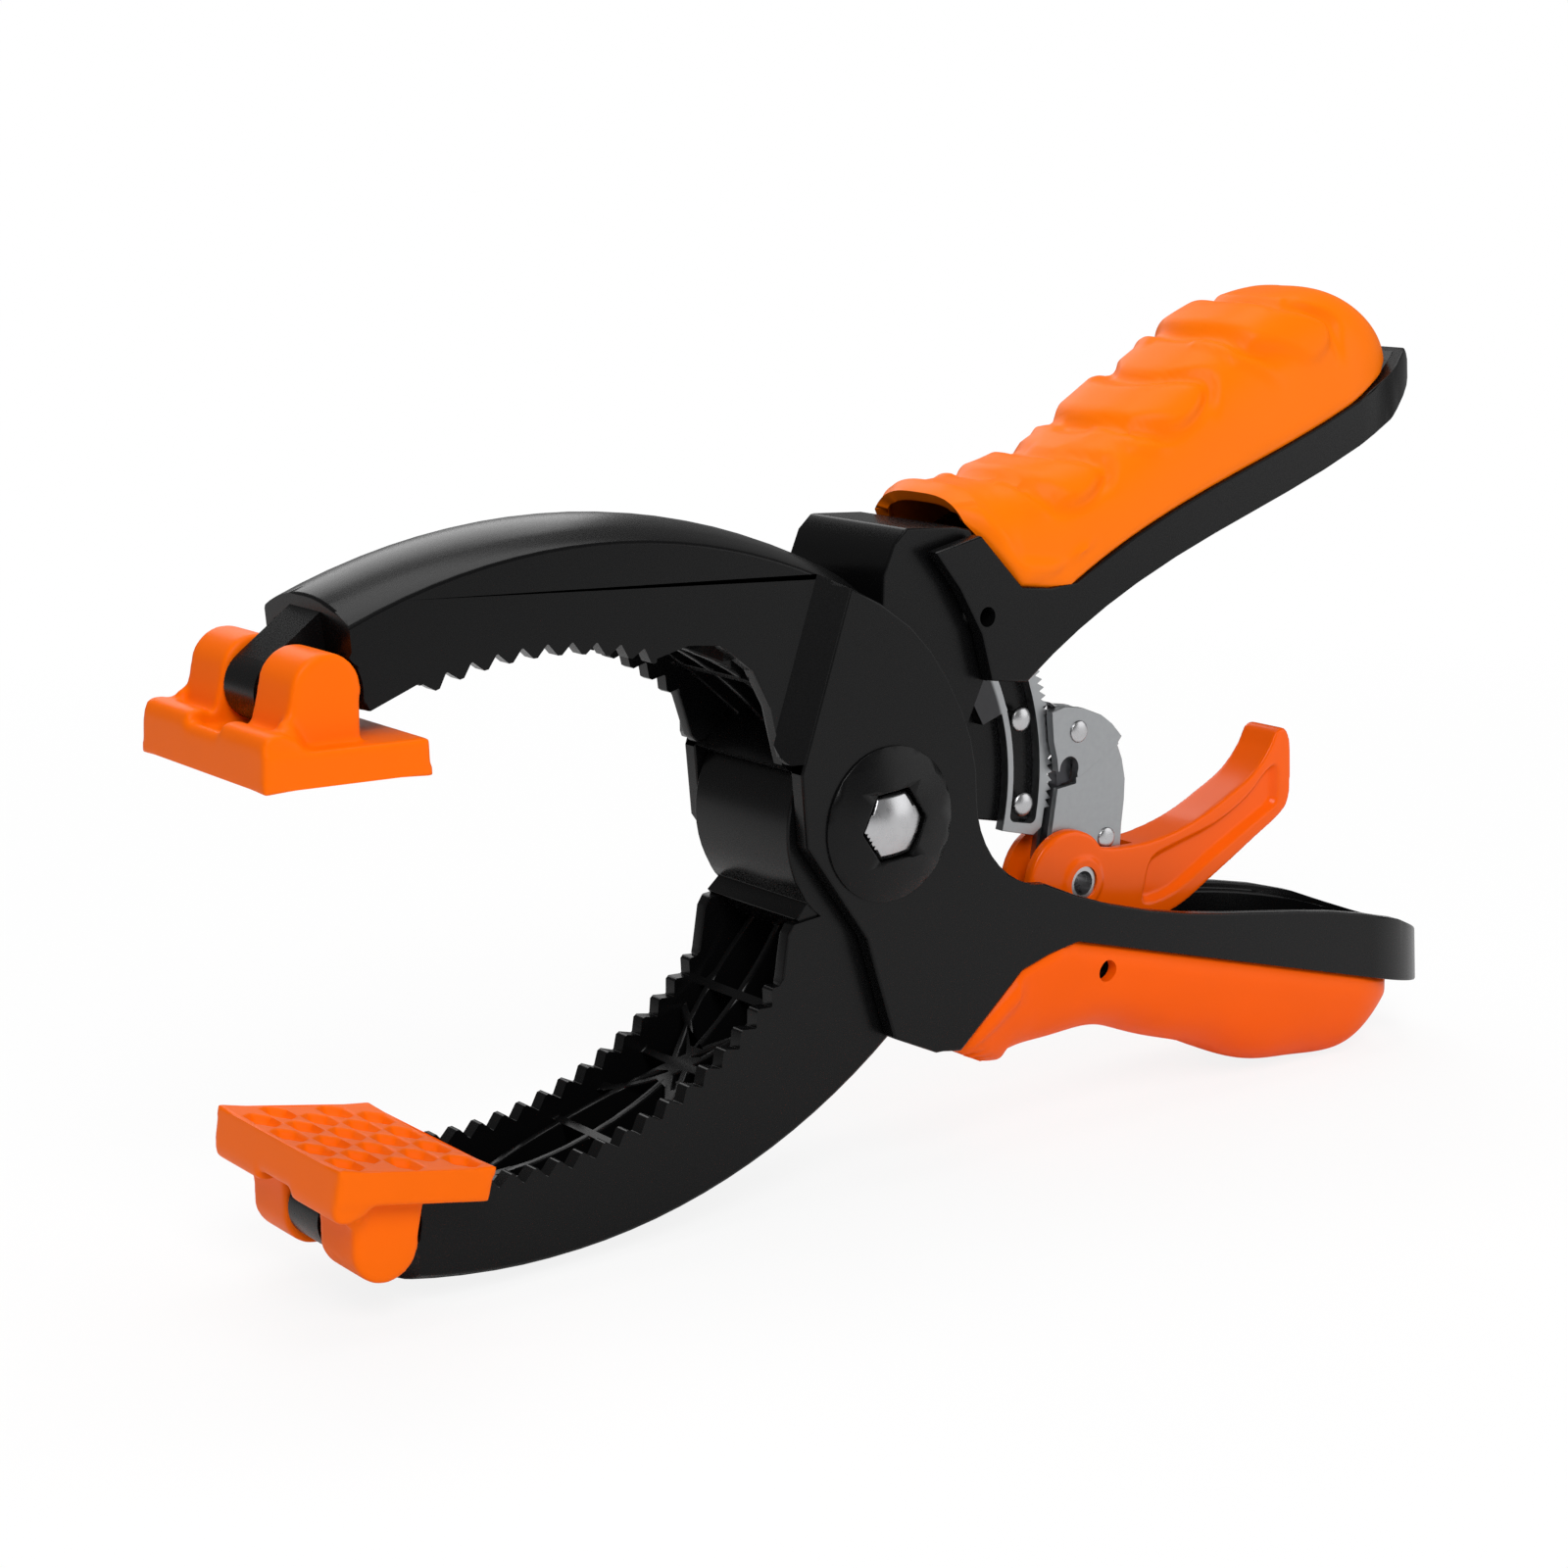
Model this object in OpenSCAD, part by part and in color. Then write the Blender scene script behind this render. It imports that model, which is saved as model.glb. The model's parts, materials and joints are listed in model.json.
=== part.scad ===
// Ratcheting spring clamp: two moulded levers cross on one bolt, a torsion spring holds the jaws open,
// and a toothed steel arc with a trigger pawl locks them as the handles are squeezed.
// Each piece is drawn on the line that halves the angle between the levers, with the pivot at the origin:
// X runs towards the handles, Z up and Y along the bolt, away from its head. stand() then tips and
// lifts the whole clamp to the way it rests on a table. Sizes are millimetres and degrees.

/* [Stance] */
// Slope of the halving line when the clamp rests on its lower jaw and lower grip
stand_tilt = 5; // [0:0.5:10]
// How far the pivot lies behind the middle of the clamp's length
stand_shift = -13.1; // [-20:0.1:0]

/* [Jaws] */
// Radius of a jaw's back
jaw_back_r = 104.2; // [90:0.1:120]
// Centre of the back's curve, along and below the halving line
jaw_back_centre = [-56.6, -51.9]; // [-80:0.1:-40]
// Radius of a jaw's toothed inner edge
jaw_bite_r = 61.8; // [50:0.1:80]
// Centre of the toothed edge's curve
jaw_bite_centre = [-62.7, -22.5]; // [-80:0.1:-20]
// Width across a jaw
jaw_width = 24; // [18:0.5:30]
// How far the back swells in the middle of its width
jaw_crown = 3; // [0:0.1:5]
// Thickness of the side walls and of the back
jaw_wall = 2.4; // [1.6:0.1:4]
// Distance between teeth along the bite
tooth_pitch = 4.2; // [3:0.1:6]
// Height of a tooth
tooth_height = 1.7; // [1:0.1:3]
// Number of teeth in a row
tooth_count = 15; // [8:1:18]

/* [Hub] */
// Radius of the hub barrel between the cheeks
hub_r = 17.5; // [14:0.1:20]
// Outer faces of the cheeks, across the clamp
cheek_width = 30.4; // [26:0.1:34]
// Gap between the inner lever and a cheek
cheek_gap = 0.3; // [0.2:0.05:0.6]
// Radius of the domed boss round the bolt
boss_r = 12.3; // [9:0.1:15]
// Height of the boss over the cheek
boss_height = 2; // [1:0.1:4]

/* [Pivot bolt] */
// Shank diameter of the bolt
bolt_d = 6; // [5:0.5:8]
// Width of the bolt head and nut across the flats
bolt_flats = 10; // [8:0.5:13]
// Height of the bolt head and of the nut
bolt_head_height = 3.1; // [2:0.1:5]
// Outer diameter of the steel sleeve that the inner lever turns on
sleeve_d = 9; // [8:0.5:12]

/* [Handles] */
// Half width of a handle at its rim
handle_half = 15.2; // [12:0.1:18]
// Far end of the rims, from the pivot
handle_reach = 133; // [110:0.5:140]
// Thickness of the handle shells
handle_wall = 2.4; // [1.6:0.1:4]
// Height of the bare rim under the upper grip
upper_band = 7.9; // [4:0.1:10]
// Depth of a grip at the palm swell, from the halving line
grip_swell = 70; // [60:0.5:75]
// Thickness of the grip over the shell
grip_wall = 2.4; // [1.5:0.1:4]

/* [Ratchet] */
// Radius of the arc's tooth tips
arc_tip_r = 47.5; // [44:0.1:52]
// Radius of the arc's inner edge
arc_inner_r = 37.5; // [30:0.1:40]
// Thickness of the arc
arc_thick = 1.8; // [1.5:0.1:4]
// Pitch of the ratchet teeth, degrees
ratchet_pitch = 1.8; // [1.2:0.1:3]
// Lower end of the arc, degrees below the halving line
arc_low = 14; // [8:1:24]
// Upper end of the arc, inside the upper handle
arc_high = 40; // [30:1:48]

/* [Trigger] */
// Place of the trigger pin, along and below the halving line
trigger_pin_at = [50.2, -24.3]; // [-40:0.1:60]
// Outer diameter of the hollow trigger pin
trigger_pin_d = 5.8; // [4:0.1:7]
// Width across the trigger
trigger_width = 8; // [7:0.5:18]
// Thickness of a pawl plate
plate_thick = 1.1; // [0.8:0.1:2.5]

/* [Pads] */
// Place of the upper pad's pin, along and above the halving line
pad_pin_at = [-94.2, 38.7]; // [-110:0.1:50]
// Distance from the pin to the clamping face
pad_reach = 11; // [8:0.1:16]
// Thickness of the pad plate
pad_plate = 5.3; // [3:0.1:8]
// Length of the pad plate along the clamp
pad_length = 25.6; // [18:0.1:32]
// Width of the pad plate
pad_width = 36.4; // [26:0.1:42]
// Tilt of the upper pad as it hangs
upper_pad_tilt = 6.2; // [-10:0.1:20]
// Tilt of the lower pad as it rests on its jaw
lower_pad_tilt = 15.8; // [0:0.1:20]
// Diameter of the pad pins
pad_pin_d = 4; // [3:0.1:5]

/* [Springs] */
// Wire diameter of the main spring
main_wire = 2.4; // [1.6:0.1:3]
// Turns of the main spring
main_turns = 4.6; // [3:0.1:6]
// Wire diameter of the trigger spring
trigger_wire = 0.7; // [0.4:0.05:1]

/* [Hidden] */
$fn = 48;

black_plastic = [0.13, 0.13, 0.13];
orange_plastic = [1, 0.42, 0.06];
steel = [0.7, 0.7, 0.72];
bright_steel = [0.85, 0.85, 0.87];
spring_black = [0.2, 0.2, 0.22];

jaw_half = jaw_width / 2;
jaw_inner = jaw_half - jaw_wall;
cheek_half = cheek_width / 2;
cheek_inner = jaw_half + cheek_gap;
hub_gap = 0.5;
arc_half = arc_thick / 2;
web_back = 3.1;
plate_near = 1.1;
plate_far = plate_near + plate_thick;
trigger_half = trigger_width / 2;
trigger_inner = plate_far + 0.1;
cap_thick = 0.4;
pawl_rivets_at = [[52.1, 1.7], [57.7, -18.4]];
trigger_hook = [9, -4.5];
trigger_hook_hole = [8.5, -4.3];
ear_r = 5.4;
ear_rise = [0.3, 1.4];
ear_base = 6;
tongue_r = 5.2;
pad_left = -11.1;
running_fit = 0.05;
main_coil_r = 9;
main_pitch = main_wire + 0.55;
lug_half = 0.8;
trigger_coil_r = 3.85;
trigger_pitch = trigger_wire + 0.45;
trigger_turns = 1.6;

// The jaw's back and the palm swell both touch the table
function table_height(x, z) = -(x * sin(stand_tilt) + z * cos(stand_tilt));
stand_lift = jaw_back_r + jaw_crown + table_height(jaw_back_centre[0], -jaw_back_centre[1]);

// Rim lines and floors of the handles, measured from the halving line as depths
swell_at = 105;
grip_start = 15;
grip_end = 126.5;
function rim_line(x) = let(s = (max(x, 30) - 25) / 106) 13.2 + 73.8 * s - 91.1 * s * s + 56.2 * s * s * s;
function grip_floor(x) =
  let(u = max(0, x - grip_start) / (swell_at - grip_start))
  x < swell_at ? 42 + (grip_swell - 42) * (1 - cos(180 * pow(u, 1.15))) / 2
               : grip_swell - 13 * pow((x - swell_at) / (grip_end - swell_at), 1.9);
// How far a grip stands proud of the shell's swell towards its rolled front lip
function grip_lip(x) = 6 * exp(-pow((x - 19) / 24, 2));
function lower_edge(x) = x < 38.5 ? lookup(x, [[7, 39.7], [12, 41], [26, 31], [38.5, 28.6]])
                                  : 19.7 + 0.357 * (x - 11.5);
function upper_edge(x) = x < 41.7 ? lookup(x, [[22, 43.6], [30, 32], [41.7, 29.6]])
                                  : rim_line(x) + upper_band;
// Half width of a handle's plan, with an oval end
function plan_half(x, half, end, round_start) =
  x < round_start ? half : half * sqrt(max(0, 1 - pow((x - round_start) / (end - round_start), 2)));

module stand() {
  translate([stand_shift, 0, stand_lift]) rotate([0, -stand_tilt, 0]) children();
}

// Extrudes an outline drawn in X and Z between two places along Y
module slab(y0, y1) {
  translate([0, y1, 0]) rotate([90, 0, 0]) linear_extrude(height = y1 - y0) children();
}

// The same outline on both sides of the middle plane
module slab_pair(y0, y1) {
  slab(y0, y1) children();
  slab(-y1, -y0) children();
}

module bar(at, radius, y0, y1) {
  translate([at[0], y1, at[1]]) rotate([90, 0, 0]) cylinder(r = radius, h = y1 - y0);
}

module bar_pair(at, radius, y0, y1) {
  bar(at, radius, y0, y1);
  bar(at, radius, -y1, -y0);
}

// ---- Jaws, drawn as the upper one ----

module jaw_outline() {
  intersection() {
    translate(jaw_back_centre) circle(jaw_back_r, $fn = 180);
    union() {
      difference() {
        polygon([[-88, 60], [-88, 44], [-92, 38], [-92, 28], [-20.5, 8], [-20.5, 60]]);
        translate(jaw_bite_centre) circle(jaw_bite_r, $fn = 180);
      }
      jaw_root();
    }
  }
}

// Root of the jaw, from the last teeth down to the hub
module jaw_root() {
  polygon([[-30, 33.6], [-21.4, 24.3], [-20.2, 20.6], [-19.3, 17], [-18.6, 14.1], [-17.5, 12.7],
           [-12, 12.7], [0.5, 17.9], [0.5, 60], [-30, 60]]);
}

module jaw_teeth() {
  step = tooth_pitch / jaw_bite_r * 180 / PI;
  for (i = [0 : tooth_count - 1])
    translate(jaw_bite_centre) rotate(12.2 - i * step) translate([0, jaw_bite_r])
      polygon([[-tooth_pitch / 2, 0.6], [-tooth_pitch / 2, 0.1], [-0.35, -tooth_height],
               [0.35, -tooth_height], [tooth_pitch / 2, 0.1], [tooth_pitch / 2, 0.6]]);
}

// The crowned back, a full ring cut to the jaw's stretch
module jaw_back() {
  swell_r = (pow(jaw_half, 2) + pow(jaw_crown, 2)) / (2 * jaw_crown);
  ring_r = jaw_back_r + jaw_crown - swell_r;
  intersection() {
    translate([jaw_back_centre[0], 0, jaw_back_centre[1]]) rotate([90, 0, 0])
      rotate_extrude($fn = 180) difference() {
        intersection() {
          translate([ring_r, 0]) circle(swell_r);
          translate([jaw_back_r - 6, -jaw_half]) square([6 + jaw_crown + 1, jaw_width]);
        }
        intersection() {
          translate([ring_r, 0]) circle(swell_r - jaw_wall);
          translate([jaw_back_r - 7, -jaw_inner]) square([7 + jaw_crown + 1, 2 * jaw_inner]);
        }
      }
    slab(-jaw_half - 1, jaw_half + 1)
      polygon([[-88, 60], [-88, 40], [-40, 30], [0.5, 20], [0.5, 60]]);
  }
  intersection() {
    translate([jaw_back_centre[0], 0, jaw_back_centre[1]]) rotate([90, 0, 0])
      rotate_extrude($fn = 180) intersection() {
        translate([ring_r, 0]) circle(swell_r - 0.6);
        translate([jaw_back_r - 5, -jaw_inner - 0.2]) square([9, 2 * jaw_inner + 0.4]);
      }
    slab(-jaw_half, jaw_half) polygon([[-87.9, 60], [-87.9, 42], [-82, 42], [-82, 60]]);
  }
}

// Ribs inside the channel: cross walls, a middle rib and two pairs of bowed ribs
module jaw_ribs() {
  rib = 1.4;
  intersection() {
    slab(-jaw_inner - 0.2, jaw_inner + 0.2) difference() {
      jaw_outline();
      translate(jaw_bite_centre) circle(jaw_bite_r + 2.4, $fn = 180);
    }
    union() {
      slab(-rib / 2, rib / 2) translate([-100, 0]) square([100.5, 60]);
      for (a = [-5, 11.5, 28, 41])
        translate([jaw_bite_centre[0], 0, jaw_bite_centre[1]]) rotate([0, a, 0])
          translate([-rib / 2, -jaw_half, 40]) cube([rib, jaw_width, 60]);
      for (a = [11.5, 44.5], side = [-1, 1])
        translate([jaw_bite_centre[0], 0, jaw_bite_centre[1]]) rotate([0, a, 0])
          translate([0, -side * 22, 40]) difference() {
            cylinder(r = 30.6, h = 70, $fn = 96);
            translate([0, 0, -1]) cylinder(r = 30.6 - rib, h = 72, $fn = 96);
          }
    }
  }
}

module jaw() {
  between = jaw_half - 0.5;
  difference() {
    union() {
      slab_pair(jaw_inner, jaw_half) union() {
        jaw_outline();
        jaw_teeth();
      }
      jaw_back();
      jaw_ribs();
      slab(-between, between) polygon([[-1.9, 17.9], [0.4, 17.9], [0.4, 33.6], [-1.9, 34.8]]);
      slab(-between, between) intersection() {
        difference() {
          circle(hub_r + hub_gap + jaw_wall);
          circle(hub_r);
        }
        polygon([[0, 0], [0.5, 40], [-40, 40], [-17.5, 12.7]]);
      }
      slab(-between, between) intersection() {
        jaw_outline();
        polygon([[-87.9, 52], [-87.9, 34], [-82, 36], [-82, 52]]);
      }
    }
    bar_pair(pad_pin_at, ear_r + ear_rise[1] + 0.5, 4.3, jaw_half + 2);
    pad_sweep();
  }
  slab(-4.3, 4.3) difference() {
    union() {
      translate(pad_pin_at) circle(tongue_r);
      polygon([pad_pin_at + [0, -tongue_r], pad_pin_at + [9.5, -3.2], pad_pin_at + [9.5, 9], [-88, 48.6],
               pad_pin_at + tongue_r * [-0.5, 0.87]]);
    }
    translate(pad_pin_at) circle(pad_pin_d / 2);
  }
}

// Room for the pad as it turns down from resting against the jaw
module pad_sweep() {
  clearance = 0.35;
  corner_r = norm([ear_base, pad_reach - pad_plate]);
  translate([pad_pin_at[0], 0, pad_pin_at[1]]) rotate([0, -lower_pad_tilt, 0]) {
    translate([pad_left - 2.7, -pad_width / 2, -pad_reach - 6])
      cube([pad_length + 3.3, pad_width, 6 + pad_plate + clearance]);
    slab_pair(4.3, jaw_half + 2) {
      polygon([[0, clearance], [ear_r + 0.4, clearance], [ear_base + 0.5, -5.5], [0, -5.5]]);
      intersection() {
        circle(corner_r + clearance);
        polygon([[0, 0], 20 * polar(-40), 20 * polar(-90)]);
      }
    }
  }
}

// ---- Handles, drawn as the lower one, depths downwards ----

// Solid with a rounded underside between two stations, its top left open above the rim
module trough(x0, end, round_start, half, floor_drop, lip, proud = 0) {
  steps = 18;
  sides = 14;
  rings = [for (i = [0 : steps])
    let(x = x0 + (end - x0) * sin(90 * i / steps) * 0.997, w = plan_half(x, half, end, round_start),
        top = rim_line(x) - lip, deep = grip_floor(x) - floor_drop + proud * grip_lip(x))
    [for (j = [0 : sides])
      let(a = 180 * j / sides)
      [x, w * sign(cos(a)) * pow(abs(cos(a)), 0.62), -top - (deep - top) * pow(sin(a), 0.62)]]];
  loft(rings);
}

// Skin over rings of points, closed at both ends, all faces triangles
module loft(rings) {
  n = len(rings);
  m = len(rings[0]);
  points = [for (ring = rings, p = ring) p];
  skin = [for (i = [0 : n - 2], j = [0 : m - 1])
    let(k = (j + 1) % m, a = i * m + j, b = i * m + k, c = a + m, d = b + m)
    each [[a, b, d], [a, d, c]]];
  last = (n - 1) * m;
  caps = [for (j = [1 : m - 2]) each [[0, j + 1, j], [last, last + j, last + j + 1]]];
  polyhedron(points = points, faces = concat(skin, caps));
}

// Plan of a handle between its start and its oval end
module plan(x0, end, round_start, half) {
  steps = 12;
  far = [for (i = [0 : steps]) round_start + (end - round_start) * sin(90 * i / steps)];
  near_side = [for (x = far) [x, -plan_half(x, half, end, round_start)]];
  far_side = [for (i = [steps - 1 : -1 : 0]) [far[i], plan_half(far[i], half, end, round_start)]];
  polygon(concat([[x0, -half]], near_side, far_side, [[x0, half]]));
}

// Rim wall of a handle, drawn downwards with its beak at a depth; the child is its outline in X and Z
module rim_wall(x0, beak) {
  intersection() {
    slab(-handle_half - 1, handle_half + 1) children();
    difference() {
      undercut(0, beak) plan(x0, handle_reach, 110, handle_half);
      undercut(handle_wall, beak) plan(x0 - 1, handle_reach - handle_wall, 110, handle_half - handle_wall);
    }
  }
}

// A plan extruded downwards, its far end leaning back towards the pivot above and below the beak
module undercut(inset, beak) {
  reach = handle_reach - inset;
  intersection() {
    translate([0, 0, -80]) linear_extrude(height = 80) children();
    slab(-handle_half - 1, handle_half + 1)
      polygon([[-20, 0], [reach - 7, 12 - beak], [reach - 1.5, 5 - beak], [reach, 1 - beak],
               [reach - 0.5, -2 - beak], [reach - 4, -5 - beak], [reach - 9, -8.5 - beak],
               [reach - 16, -80], [-20, -80]]);
  }
}

module lower_rim_side() {
  xs = [7, 12, 26, 32, 38.5, 46, 55, 64, 73, 82, 91, 100, 109, 118, handle_reach + 1];
  polygon(concat([for (x = xs) [x, -rim_line(x)]],
                 [for (i = [len(xs) - 1 : -1 : 0]) [xs[i], -lower_edge(xs[i])]]));
}

// Left boundary that clears the cheeks, then the rim and the grip's edge
module upper_rim_side() {
  xs = [30, 36, 41.7, 48, 55, 64, 73, 82, 91, 100, 109, 118, handle_reach + 1];
  polygon(concat([[12.5, -40.5], [17, -34], [21, -26], [22.6, -18.2]],
                 [for (x = xs) [x, -rim_line(x)]],
                 [for (i = [len(xs) - 1 : -1 : 0]) [xs[i], -upper_edge(xs[i])]],
                 [[22, -41.6]]));
}

module handle_shell(x0) {
  difference() {
    trough(x0, 124.2, 104, 13.6, grip_wall, -1.5);
    translate([-0.01, 0, 0]) trough(x0 - 1, 121.8, 102, 11.2, grip_wall + handle_wall, 2);
  }
}

// ---- Cheeks ----

function polar(a) = [cos(a), sin(a)];

function arc_points(centre, radius, a0, a1, steps) =
  [for (i = [0 : steps]) let(a = a0 + (a1 - a0) * i / steps) centre + radius * [cos(a), sin(a)]];

module cheek_outline() {
  polygon(concat(
    [[-4.5, 38.2], [1.2, 34.6], [6.6, 30.2], [10.5, 25.6], [13.6, 20.4], [16.1, 15], [17.7, 9.8],
     [18.4, 4.4]],
    arc_points([35.6, -1], 17.4, 178, 246, 8),
    [[30, -19], [30, -30], [26, -30.8], [12, -40.5], [7, -39.9], [-1.5, -35.1], [-5.7, -17.4],
     [-16.1, -0.2], [-16.2, 11.3]]));
}

// Slanted shoulder outside one fold line, from the cheek's face down to the jaw's side
module fold(p, q, run) {
  rise = cheek_half - jaw_half;
  along = q - p;
  sunk = 0.3;
  spare = 3;
  for (side = [0, 1])
    mirror([0, side, 0]) intersection() {
      translate([p[0], 0, p[1]]) rotate([0, -atan2(along[1], along[0]), 0]) rotate([90, 0, 90])
        translate([0, 0, -spare]) linear_extrude(height = norm(along) + 2 * spare)
          polygon([[sunk - jaw_half, -1], [sunk - cheek_half, -1], [0.05 - cheek_half, 0.05 * run / rise],
                   [sunk - jaw_half, run * (1 + sunk / rise)]]);
      slab(-cheek_half - 1, cheek_half + 1) intersection() {
        translate(jaw_back_centre) circle(jaw_back_r - 0.3, $fn = 180);
        translate([0.2, 0.2]) jaw_root();
      }
    }
}

module cheek_boss() {
  rise = boss_height - 0.4;
  dome_r = (pow(boss_r, 2) + pow(rise, 2)) / (2 * rise);
  intersection() {
    rotate([90, 0, 0]) cylinder(r = boss_r, h = cheek_half + boss_height);
    translate([0, dome_r - cheek_half - boss_height, 0]) sphere(dome_r, $fn = 120);
  }
}

// ---- Sub-parts ----

module outer_lever() {
  color(black_plastic) stand() {
    difference() {
      union() {
        difference() {
          jaw();
          bar([0, 0], hub_r + hub_gap, -jaw_half - 1, jaw_half + 1);
        }
        slab_pair(cheek_inner, cheek_half) cheek_outline();
        slab_pair(jaw_inner, cheek_inner + 0.2) intersection() {
          difference() {
            jaw_outline();
            circle(hub_r + hub_gap);
          }
          cheek_outline();
        }
        fold([-16.2, 11.3], [-4.5, 38.2], 4.5);
        difference() {
          union() {
            cheek_boss();
            mirror([0, 1, 0]) cheek_boss();
          }
          bar([0, 0], boss_r + 1, -cheek_inner - 0.5, cheek_inner + 0.5);
        }
        rim_wall(7, 57) lower_rim_side();
        difference() {
          handle_shell(7);
          bar([0, 0], hub_r + hub_gap, -cheek_inner, cheek_inner);
        }
        bar(trigger_pin_at, 4.6, -lug_half, lug_half);
        slab(-lug_half, lug_half)
          polygon([trigger_pin_at + [-4.5, 0], trigger_pin_at + [4.5, 0], [55.5, -47], [45.5, -44]]);
      }
      slab(-jaw_half - 0.1, -jaw_inner + 0.1)
        polygon([[-38.6, 33.4], [-33, 34.2], [-27, 33], [-21.5, 28], [-18.8, 22], [-17.4, 12.5], [-24, 12],
                 [-40, 25]]);
      bar([0, 0], bolt_d / 2 + 0.1, -20, 20);
      for (side = [0, 1]) mirror([0, side, 0])
        translate([0, -cheek_half - boss_height + bolt_head_height, 0]) rotate([90, 0, 0])
          cylinder(r = (bolt_flats + 1) / 2 / cos(30), h = 10, $fn = 6);
      bar(trigger_pin_at, trigger_pin_d / 2, -3, 3);
      bar([44.6, -36], 1.6, -16, 16);
    }
  }
}

module inner_lever() {
  color(black_plastic) stand() difference() {
    union() {
      difference() {
        union() {
          mirror([0, 0, 1]) jaw();
          slab(-jaw_half, jaw_half) circle(hub_r);
        }
        bar([0, 0], 12.6, -10.2, 10.2);
      }
      slab_pair(jaw_inner, jaw_half) difference() {
        neck_outline();
        circle(hub_r - 1);
      }
      slab(-jaw_half, jaw_half) neck_back();
      slab(arc_half, web_back) difference() {
        intersection() {
          circle(43);
          polygon([[0, 0], 60 * [cos(17), -sin(17)], 60 * [cos(10), 0], [50, 30], [24, 34], [4, 18]]);
        }
        circle(hub_r - 1);
      }
      mirror([0, 0, 1]) rim_wall(12, 49.5) upper_rim_side();
      mirror([0, 0, 1]) handle_shell(22.8);
    }
    bar([0, 0], sleeve_d / 2 + running_fit, -20, 20);
    bar([22.3, 28.6], 1.6, -20, -9);
    bar([22.3, 28.6], 1.6, 9, 20);
    slab(-9.4, -5.8) polygon([[-4, 0], [-4, -16], [0, -30], [30, -38], [30, -9]]);
    slab(4.6, 8.2) polygon([[8.5, -0.9], [29, 32.8], [26, 34.6], [5.5, 0.9]]);
    for (a = [8.4, -12.1]) bar(41.05 * [cos(a), sin(a)], 1.3, 0, web_back + 1);
    hang_slot();
  }
}

module neck_outline() {
  polygon([[2, 14], [4.5, 38], [6.9, 42.5], [9.6, 44.5], [19.6, 43.1], [22.4, 42.2], [24.2, 40],
           [24, 18.6], [16.5, 6]]);
}

module neck_back() {
  polygon([[2, 16.5], [4.5, 38], [6.9, 42.5], [9.6, 44.5], [19.6, 43.1], [22.4, 42.2], [24.2, 40],
           [24.2, 38.2], [19.2, 40.6], [10.6, 41.9], [9.1, 40.8], [7, 37], [4.6, 16.5]]);
}

// Slot near the far end of the upper handle for a hook
module hang_slot() {
  translate([0, 0, 50]) linear_extrude(height = 30) union() {
    translate([108, -1.8]) square([6, 3.6]);
    translate([108, 0]) circle(1.8);
    translate([114, 0]) circle(1.8);
  }
}

// A grip drawn as the lower one: rounded outside, hollow to the shell, cut back to its edge line
module grip(rim) {
  difference() {
    intersection() {
      trough(rim == "lower" ? 12.5 : 22, grip_end, 106, handle_half + 0.4, 0, -3, 1);
      slab(-20, 20) grip_side(rim);
    }
    trough(rim == "lower" ? 7 : 22.8, 124.25, 104, 13.65, grip_wall - 0.05, -1.5);
  }
}

module grip_side(rim) {
  xs = concat(rim == "lower" ? [12, 26, 38.5] : [22, 30, 41.7, 48],
              [55, 64, 73, 82, 91, 100, 109, 118, handle_reach + 1]);
  gap = 0.05;
  polygon(concat([for (x = xs) [x, -gap - (rim == "lower" ? lower_edge(x) : upper_edge(x))]],
                 [[handle_reach + 1, -90]],
                 rim == "lower" ? [[28, -90], [25.5, -49.6], [15.5, -43.6]] : [[xs[0], -90]]));
}

module upper_grip() {
  color(orange_plastic) stand() difference() {
    mirror([0, 0, 1]) grip("upper");
    hang_slot();
  }
}

module lower_grip() {
  color(orange_plastic) stand() difference() {
    grip("lower");
    bar([44.6, -36], 1.9, -20, -10);
    bar([44.6, -36], 1.9, 10, 20);
  }
}

// Swivel pad with its pin at the origin and its clamping face downwards
module pad() {
  plate_top = -pad_reach + pad_plate;
  difference() {
    union() {
      translate([0, 0, -pad_reach]) linear_extrude(height = pad_plate) rounded_plate();
      slab_pair(4.8, 15) union() {
        circle(ear_r);
        translate(ear_rise) circle(ear_r);
        polygon([[-ear_r, 0], [ear_r, 0], [ear_base, plate_top - 1], [-ear_r - 2, plate_top - 1], [-ear_r - 1, -3.5]]);
      }
      slab_pair(4.8, pad_width / 2 - 0.5)
        polygon([[pad_left + 0.2, plate_top - 1], [pad_left + 0.4, -4.2], [pad_left + 1.3, -3.1],
                 [pad_left + 3, -3], [-ear_r - 1, -4.2], [-ear_r + 1, plate_top - 1]]);
    }
    bar([0, 0], pad_pin_d / 2 + running_fit, -11.3, 11.3);
    for (i = [0 : 4], j = [0 : 3])
      translate([pad_left + 3.3 + i * 4.75, (j - 1.5) * 8 + (i % 2) * 4 - 2, -pad_reach - 1])
        rotate(30) cylinder(r = 2.5, h = 2.2, $fn = 6);
  }
}

module rounded_plate() {
  r = 2;
  right = pad_left + pad_length;
  translate([pad_left + r, -pad_width / 2]) square([pad_length - 2 * r, pad_width]);
  translate([pad_left, -pad_width / 2 + r]) square([pad_length, pad_width - 2 * r]);
  for (x = [pad_left + r, right - r], y = [-1, 1]) translate([x, y * (pad_width / 2 - r)]) circle(r);
}

module upper_pad() {
  color(orange_plastic) stand() translate([pad_pin_at[0], 0, pad_pin_at[1]])
    rotate([0, upper_pad_tilt, 0]) pad();
}

module lower_pad() {
  color(orange_plastic) stand() translate([pad_pin_at[0], 0, -pad_pin_at[1]])
    rotate([0, lower_pad_tilt, 0]) mirror([0, 0, 1]) pad();
}

module upper_pad_pin() {
  color(steel) stand() bar(pad_pin_at, pad_pin_d / 2, -11, 11);
}

module lower_pad_pin() {
  color(steel) stand() bar([pad_pin_at[0], -pad_pin_at[1]], pad_pin_d / 2, -11, 11);
}

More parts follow.
